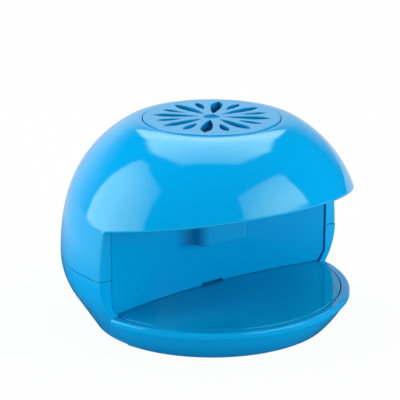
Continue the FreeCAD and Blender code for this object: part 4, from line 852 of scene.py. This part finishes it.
@dataclass
class PlateSpring:
    """A compression spring under the plate, with closed turns at both ends.

    The pitch of the closed turns is in radii of the wire: a little over 2, so they just clear.
    """

    workshop: Workshop
    side: Side
    wire: float = 0.35 * MM
    wire_sides: int = 12
    radius: float = 3.0 * MM
    floor: float = 2.4 * MM
    closed_pitch: float = 2.06
    active_turns: int = 3
    steps: int = 40
    pressed_share: float = 0.87

    def build(self) -> None:
        """Sweep the wire round its axis, from the bottom to the top of the imported spring."""
        node = f"plate_spring_{self.side.value}"
        low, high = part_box(node)
        axis = (low + high) / 2
        shape = bmesh.new()
        start = Matrix.Translation((axis.x + self.radius, axis.y, low.z + self.wire))
        start @= Matrix.Rotation(math.pi / 2, 4, "X")
        made = bmesh.ops.create_circle(shape, cap_ends=True, segments=self.wire_sides,
                                       radius=self.wire, matrix=start)
        geom = made["verts"] + shape.edges[:] + shape.faces[:]
        climb_closed = self.closed_pitch * self.wire
        climb_open = high.z - low.z - 2 * (self.wire + climb_closed)
        closed = (1, climb_closed)
        for turns, climb in (closed, (self.active_turns, climb_open), closed):
            steps = self.steps * turns
            made = bmesh.ops.spin(shape, geom=geom, cent=axis, axis=(0, 0, 1),
                                  angle=math.tau * turns, dvec=(0, 0, climb / steps), steps=steps)
            geom = made["geom_last"]
        name = f"lifting_spring_{self.side.value}"
        spring = self.workshop.add(shape, name, Body.CASE, "spring_steel", node)
        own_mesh(spring)


# -------------------------------------------------------------------------- studio
@dataclass(frozen=True)
class Softbox:
    """A lamp with an oblong face, which lights the case and isn't mirrored in it."""

    name: str
    centre: Vector
    rotation: Euler
    width: float
    height: float
    radiance: float

    def hang(self) -> None:
        """Put the lamp in the scene."""
        lamp = bpy.data.lights.new(self.name, "AREA")
        lamp.shape = "RECTANGLE"
        lamp.size = self.width
        lamp.size_y = self.height
        lamp.energy = self.radiance * math.pi * self.width * self.height
        holder = bpy.data.objects.new(self.name, lamp)
        holder.location = self.centre
        holder.rotation_euler = self.rotation
        holder.visible_glossy = False
        bpy.context.scene.collection.objects.link(holder)


@dataclass(frozen=True)
class Diffuser:
    """The lit face of a softbox as glossy surfaces see it, with edges that fade.

    Its places are on a plane one unit away: across to its own right, up along its own height.
    Where it has a cut, its lower corners are off: at height 0 each side stands in by the cut,
    and further up it comes out again at the cut's slope.
    """

    out: Vector
    right: Vector
    up: Vector
    sides: Pair
    ends: Pair
    side_fades: Pair
    end_fades: Pair
    radiance: float
    cut: float = 0.0
    cut_slope: float = 1.5
    edge: float = 0.07
    dimmest: float = 0.4
    nearest: float = 0.02

    def glow(self, graph: Graph, outward: Value) -> Value:
        """Draw the face over the directions of the world.

        Args:
            graph: The world's graph.
            outward: The direction that a ray leaves in.

        Returns:
            The brightness.
        """
        ahead = graph.along(outward, self.out)
        depth = ahead.at_least(self.nearest)
        across = graph.along(outward, self.right) / depth
        high = graph.along(outward, self.up) / depth
        mask = ahead.above(self.nearest) * self.radiance
        for place, borders, fades in ((across, self.sides, self.side_fades),
                                      (high, self.ends, self.end_fades)):
            for border, fade, inward in zip(borders, fades, (1, -1)):
                shine = self.dimmest + place.rising(border, inward * fade) * (1 - self.dimmest)
                mask = mask * place.rising(border, inward * self.edge) * shine
        if self.cut:
            middle = sum(self.sides) / 2
            kept = self.cut_slope * (self.sides[1] - middle - self.cut)
            leaning = high - (across - middle).unsigned() * self.cut_slope
            mask = mask * leaning.rising(-kept, 2 * self.edge)
        return mask


def facing(azimuth: float) -> tuple[Vector, Vector]:
    """Give the ways outward and to the right of an upright plane.

    Args:
        azimuth: Direction of the plane in degrees, 0 in front, positive to +X.

    Returns:
        The two ways.
    """
    turn = math.radians(azimuth)
    return (Vector((math.sin(turn), -math.cos(turn), 0.0)),
            Vector((math.cos(turn), math.sin(turn), 0.0)))


def fixed(x: float, y: float, z: float) -> Vector:
    """Give a class a vector as a field's default."""
    return field(default_factory=lambda: Vector((x, y, z)))


@dataclass
class Studio:
    """A white sweep, five lamps, the faces of three softboxes to mirror, and the camera.

    A glow is how bright glossy surfaces see a thing. Where a pair bounds a ramp, it holds the
    ramp's start and its width, which is negative where the ramp falls.
    """

    camera_place: Vector = fixed(-0.43424, -0.547875, 0.267344)
    camera_ahead: Vector = fixed(0.58769007, 0.75154836, -0.29965888)
    camera_up: Vector = fixed(0.18458908, 0.23605574, 0.95404641)
    lens: float = 166.7
    sensor: float = 36.0
    nearest_seen: float = 0.02
    middle: Vector = fixed(0.0, 0.0, 0.06)
    away: Vector = fixed(0.621, 0.784, 0.0)
    left_azimuth: float = -127.0
    right_azimuth: float = 20.0
    overhead_rise: float = 1.0
    overhead_shift: float = 0.48
    overhead_turn: float = math.radians(-38.4)
    ambient: float = 0.07
    room_glow: float = 0.02
    backdrop: Vector = fixed(0.35, 0.937, 0.0)
    backdrop_glow: float = 0.75
    backdrop_side: Pair = (0.6, 0.35)
    backdrop_top: Pair = (0.55, -0.25)
    floor_side: float = 8.0
    floor_cells: int = 4
    floor_tones: Pair = (0.68, 0.72)
    floor_fibre: Cloud = Cloud(900.0, 3.0)
    # In reflections the paper is dimmed near the case: a painted shadow, which fades out between
    # these distances
    painted_shadow_reach: Pair = (0.095, 0.12)
    painted_shadow_glow: float = 0.02
    far_glow: float = 0.68
    shadow_share: float = 0.04

    def set_camera(self) -> None:
        """Stand the camera where the case shows its front and left side."""
        data = bpy.data.cameras.new("studio_camera")
        data.lens = self.lens
        data.sensor_width = self.sensor
        data.clip_start = self.nearest_seen
        camera = bpy.data.objects.new("studio_camera", data)
        right = self.camera_ahead.cross(self.camera_up)
        turn = Matrix((right, self.camera_up, -self.camera_ahead)).transposed().to_4x4()
        camera.matrix_world = Matrix.Translation(self.camera_place) @ turn
        bpy.context.scene.collection.objects.link(camera)
        bpy.context.scene.camera = camera

    def hang_lamps(self) -> None:
        """Hang the overhead softbox, one on each side, and two low fills."""
        over = self.middle + self.overhead_rise * (self.overhead_shift * self.away + UPWARD)
        turn = Euler((0.0, 0.0, self.overhead_turn))
        boxes = (
            Softbox("overhead_softbox", over, turn, width=1.28, height=1.06, radiance=2.7),
            self.upright_box("left_softbox", self.left_azimuth, distance=1.1, across=0.05, up=0.6,
                             width=0.98, height=1.3, radiance=2.6),
            self.upright_box("right_softbox", self.right_azimuth, distance=1.1, across=0.05,
                             up=1.0, width=1.0, height=1.3, radiance=1.9),
            self.upright_box("front_fill", azimuth=24, distance=1.4, across=0.0, up=0.12,
                             width=0.9, height=0.4, radiance=6.6),
            self.upright_box("left_fill", azimuth=-108, distance=1.2, across=0.0, up=0.0,
                             width=0.6, height=0.5, radiance=7.4),
        )
        for box in boxes:
            box.hang()
            LOG.info("hung %s", box.name)

    def upright_box(self, name: str, azimuth: float, distance: float, across: float, up: float,
                    width: float, height: float, radiance: float) -> Softbox:
        """Describe a softbox on an upright plane.

        Args:
            name: The lamp's name.
            azimuth: Direction of the plane in degrees, 0 in front, positive to +X.
            distance: How far the plane stands from the case.
            across: Sideways place on the plane, in distances.
            up: Height on the plane, in distances.
            width: Width, in distances.
            height: Height, in distances.
            radiance: Brightness of its face.

        Returns:
            The softbox.
        """
        out, right = facing(azimuth)
        centre = self.middle + distance * (out + across * right + up * UPWARD)
        rotation = (-out).to_track_quat("-Z", "Y").to_euler()
        return Softbox(name, centre, rotation, width * distance, height * distance, radiance)

    def lit_faces(self) -> tuple[Diffuser, ...]:
        """Describe the lit faces that the glossy case mirrors.

        Returns:
            The faces overhead, to the left and to the right.
        """
        return (
            Diffuser(UPWARD, self.away.cross(UPWARD), self.away,
                     sides=(-0.67, 0.62), ends=(-0.12, 1.9),
                     side_fades=(0.1, 0.1), end_fades=(0.4, 0.8), radiance=3.2, cut=0.25),
            Diffuser(*facing(self.left_azimuth), UPWARD, sides=(-0.47, 0.7), ends=(-0.1, 1.35),
                     side_fades=(0.05, 0.7), end_fades=(0.1, 0.7), radiance=3.0),
            Diffuser(*facing(self.right_azimuth), UPWARD, sides=(-0.62, 0.64), ends=(0.4, 1.38),
                     side_fades=(0.7, 0.05), end_fades=(0.1, 0.7), radiance=3.0),
        )

    def light_world(self) -> None:
        """Show white behind the case, mirror the lit faces, and fill softly from all round."""
        world = bpy.data.worlds.new("white_sweep")
        bpy.context.scene.world = world
        graph = Graph(world)
        outward = graph.node("ShaderNodeTexCoord", {}, {}, "Generated")
        height = graph.node("ShaderNodeSeparateXYZ", {}, {0: outward}, Axis.Z.value)
        behind = graph.along(outward, self.backdrop)
        backdrop = behind.rising(*self.backdrop_side) * height.rising(*self.backdrop_top)
        mirrored = self.room_glow + backdrop * self.backdrop_glow
        for face in self.lit_faces():
            mirrored = mirrored + face.glow(graph, outward)
        seen = (graph.ray(Ray.CAMERA) + graph.ray(Ray.TRANSMISSION)).clamped()
        glossy = graph.ray(Ray.GLOSSY)
        others = 1.0 - (seen + glossy).clamped()
        strength = seen + glossy * mirrored + others * self.ambient
        shader = graph.node("ShaderNodeBackground", {}, {"Color": WHITE, "Strength": strength})
        graph.add("ShaderNodeOutputWorld", {}, {"Surface": shader})

    def paper(self) -> bpy.types.Material:
        """Make the floor's white paper, which keeps a light shadow and, in reflections only, a
        painted shadow round the case.

        Returns:
            The material.
        """
        made = bpy.data.materials.new("white_paper")
        graph = Graph(made)
        dark, light = self.floor_tones
        tone = graph.blend(self.floor_fibre.draw(graph), rgba(dark, dark, dark),
                           rgba(light, light, light))
        matt = graph.node("ShaderNodeBsdfDiffuse", {}, {"Color": tone})
        # dim the paper that reflections see near the case: painted shadow
        reach = graph.node("ShaderNodeVectorMath", {"operation": "LENGTH"},
                           {0: graph.place()}, "Value")
        brighter = reach.rising(*self.painted_shadow_reach) * (self.far_glow - self.painted_shadow_glow)
        glossy = graph.ray(Ray.GLOSSY)
        strength = 1.0 - glossy * ((1.0 - self.painted_shadow_glow) - brighter)
        glow = graph.node("ShaderNodeEmission", {}, {"Color": WHITE, "Strength": strength})
        seen = (graph.ray(Ray.CAMERA) + glossy + graph.ray(Ray.TRANSMISSION)).clamped()
        share = seen * (1.0 - self.shadow_share)
        mixed = graph.node("ShaderNodeMixShader", {}, {0: share, 1: matt, 2: glow})
        graph.add("ShaderNodeOutputMaterial", {}, {"Surface": mixed})
        return made

    def lay_floor(self) -> None:
        """Lay the floor under the case."""
        mesh = bmesh.new()
        bmesh.ops.create_grid(mesh, x_segments=self.floor_cells, y_segments=self.floor_cells,
                              size=self.floor_side / 2)
        data = bpy.data.meshes.new("studio_floor")
        mesh.to_mesh(data)
        mesh.free()
        data.materials.append(self.paper())
        floor = bpy.data.objects.new("studio_floor", data)
        bpy.context.scene.collection.objects.link(floor)

    def build(self) -> None:
        """Set up camera, lamps, world and floor."""
        self.set_camera()
        self.hang_lamps()
        self.light_world()
        self.lay_floor()
        LOG.info("studio ready")


def main() -> None:
    """Build the studio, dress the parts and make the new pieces."""
    logging.basicConfig(level=logging.INFO, format="%(message)s")
    bpy.context.scene.view_settings.view_transform = "Standard"
    Studio().build()
    shop = Paintshop()
    shop.dress_parts()
    workshop = Workshop(shop)
    FanWheel(workshop).build()
    for side in Side:
        PlateSpring(workshop, side).build()


if __name__ == "__main__":
    main()
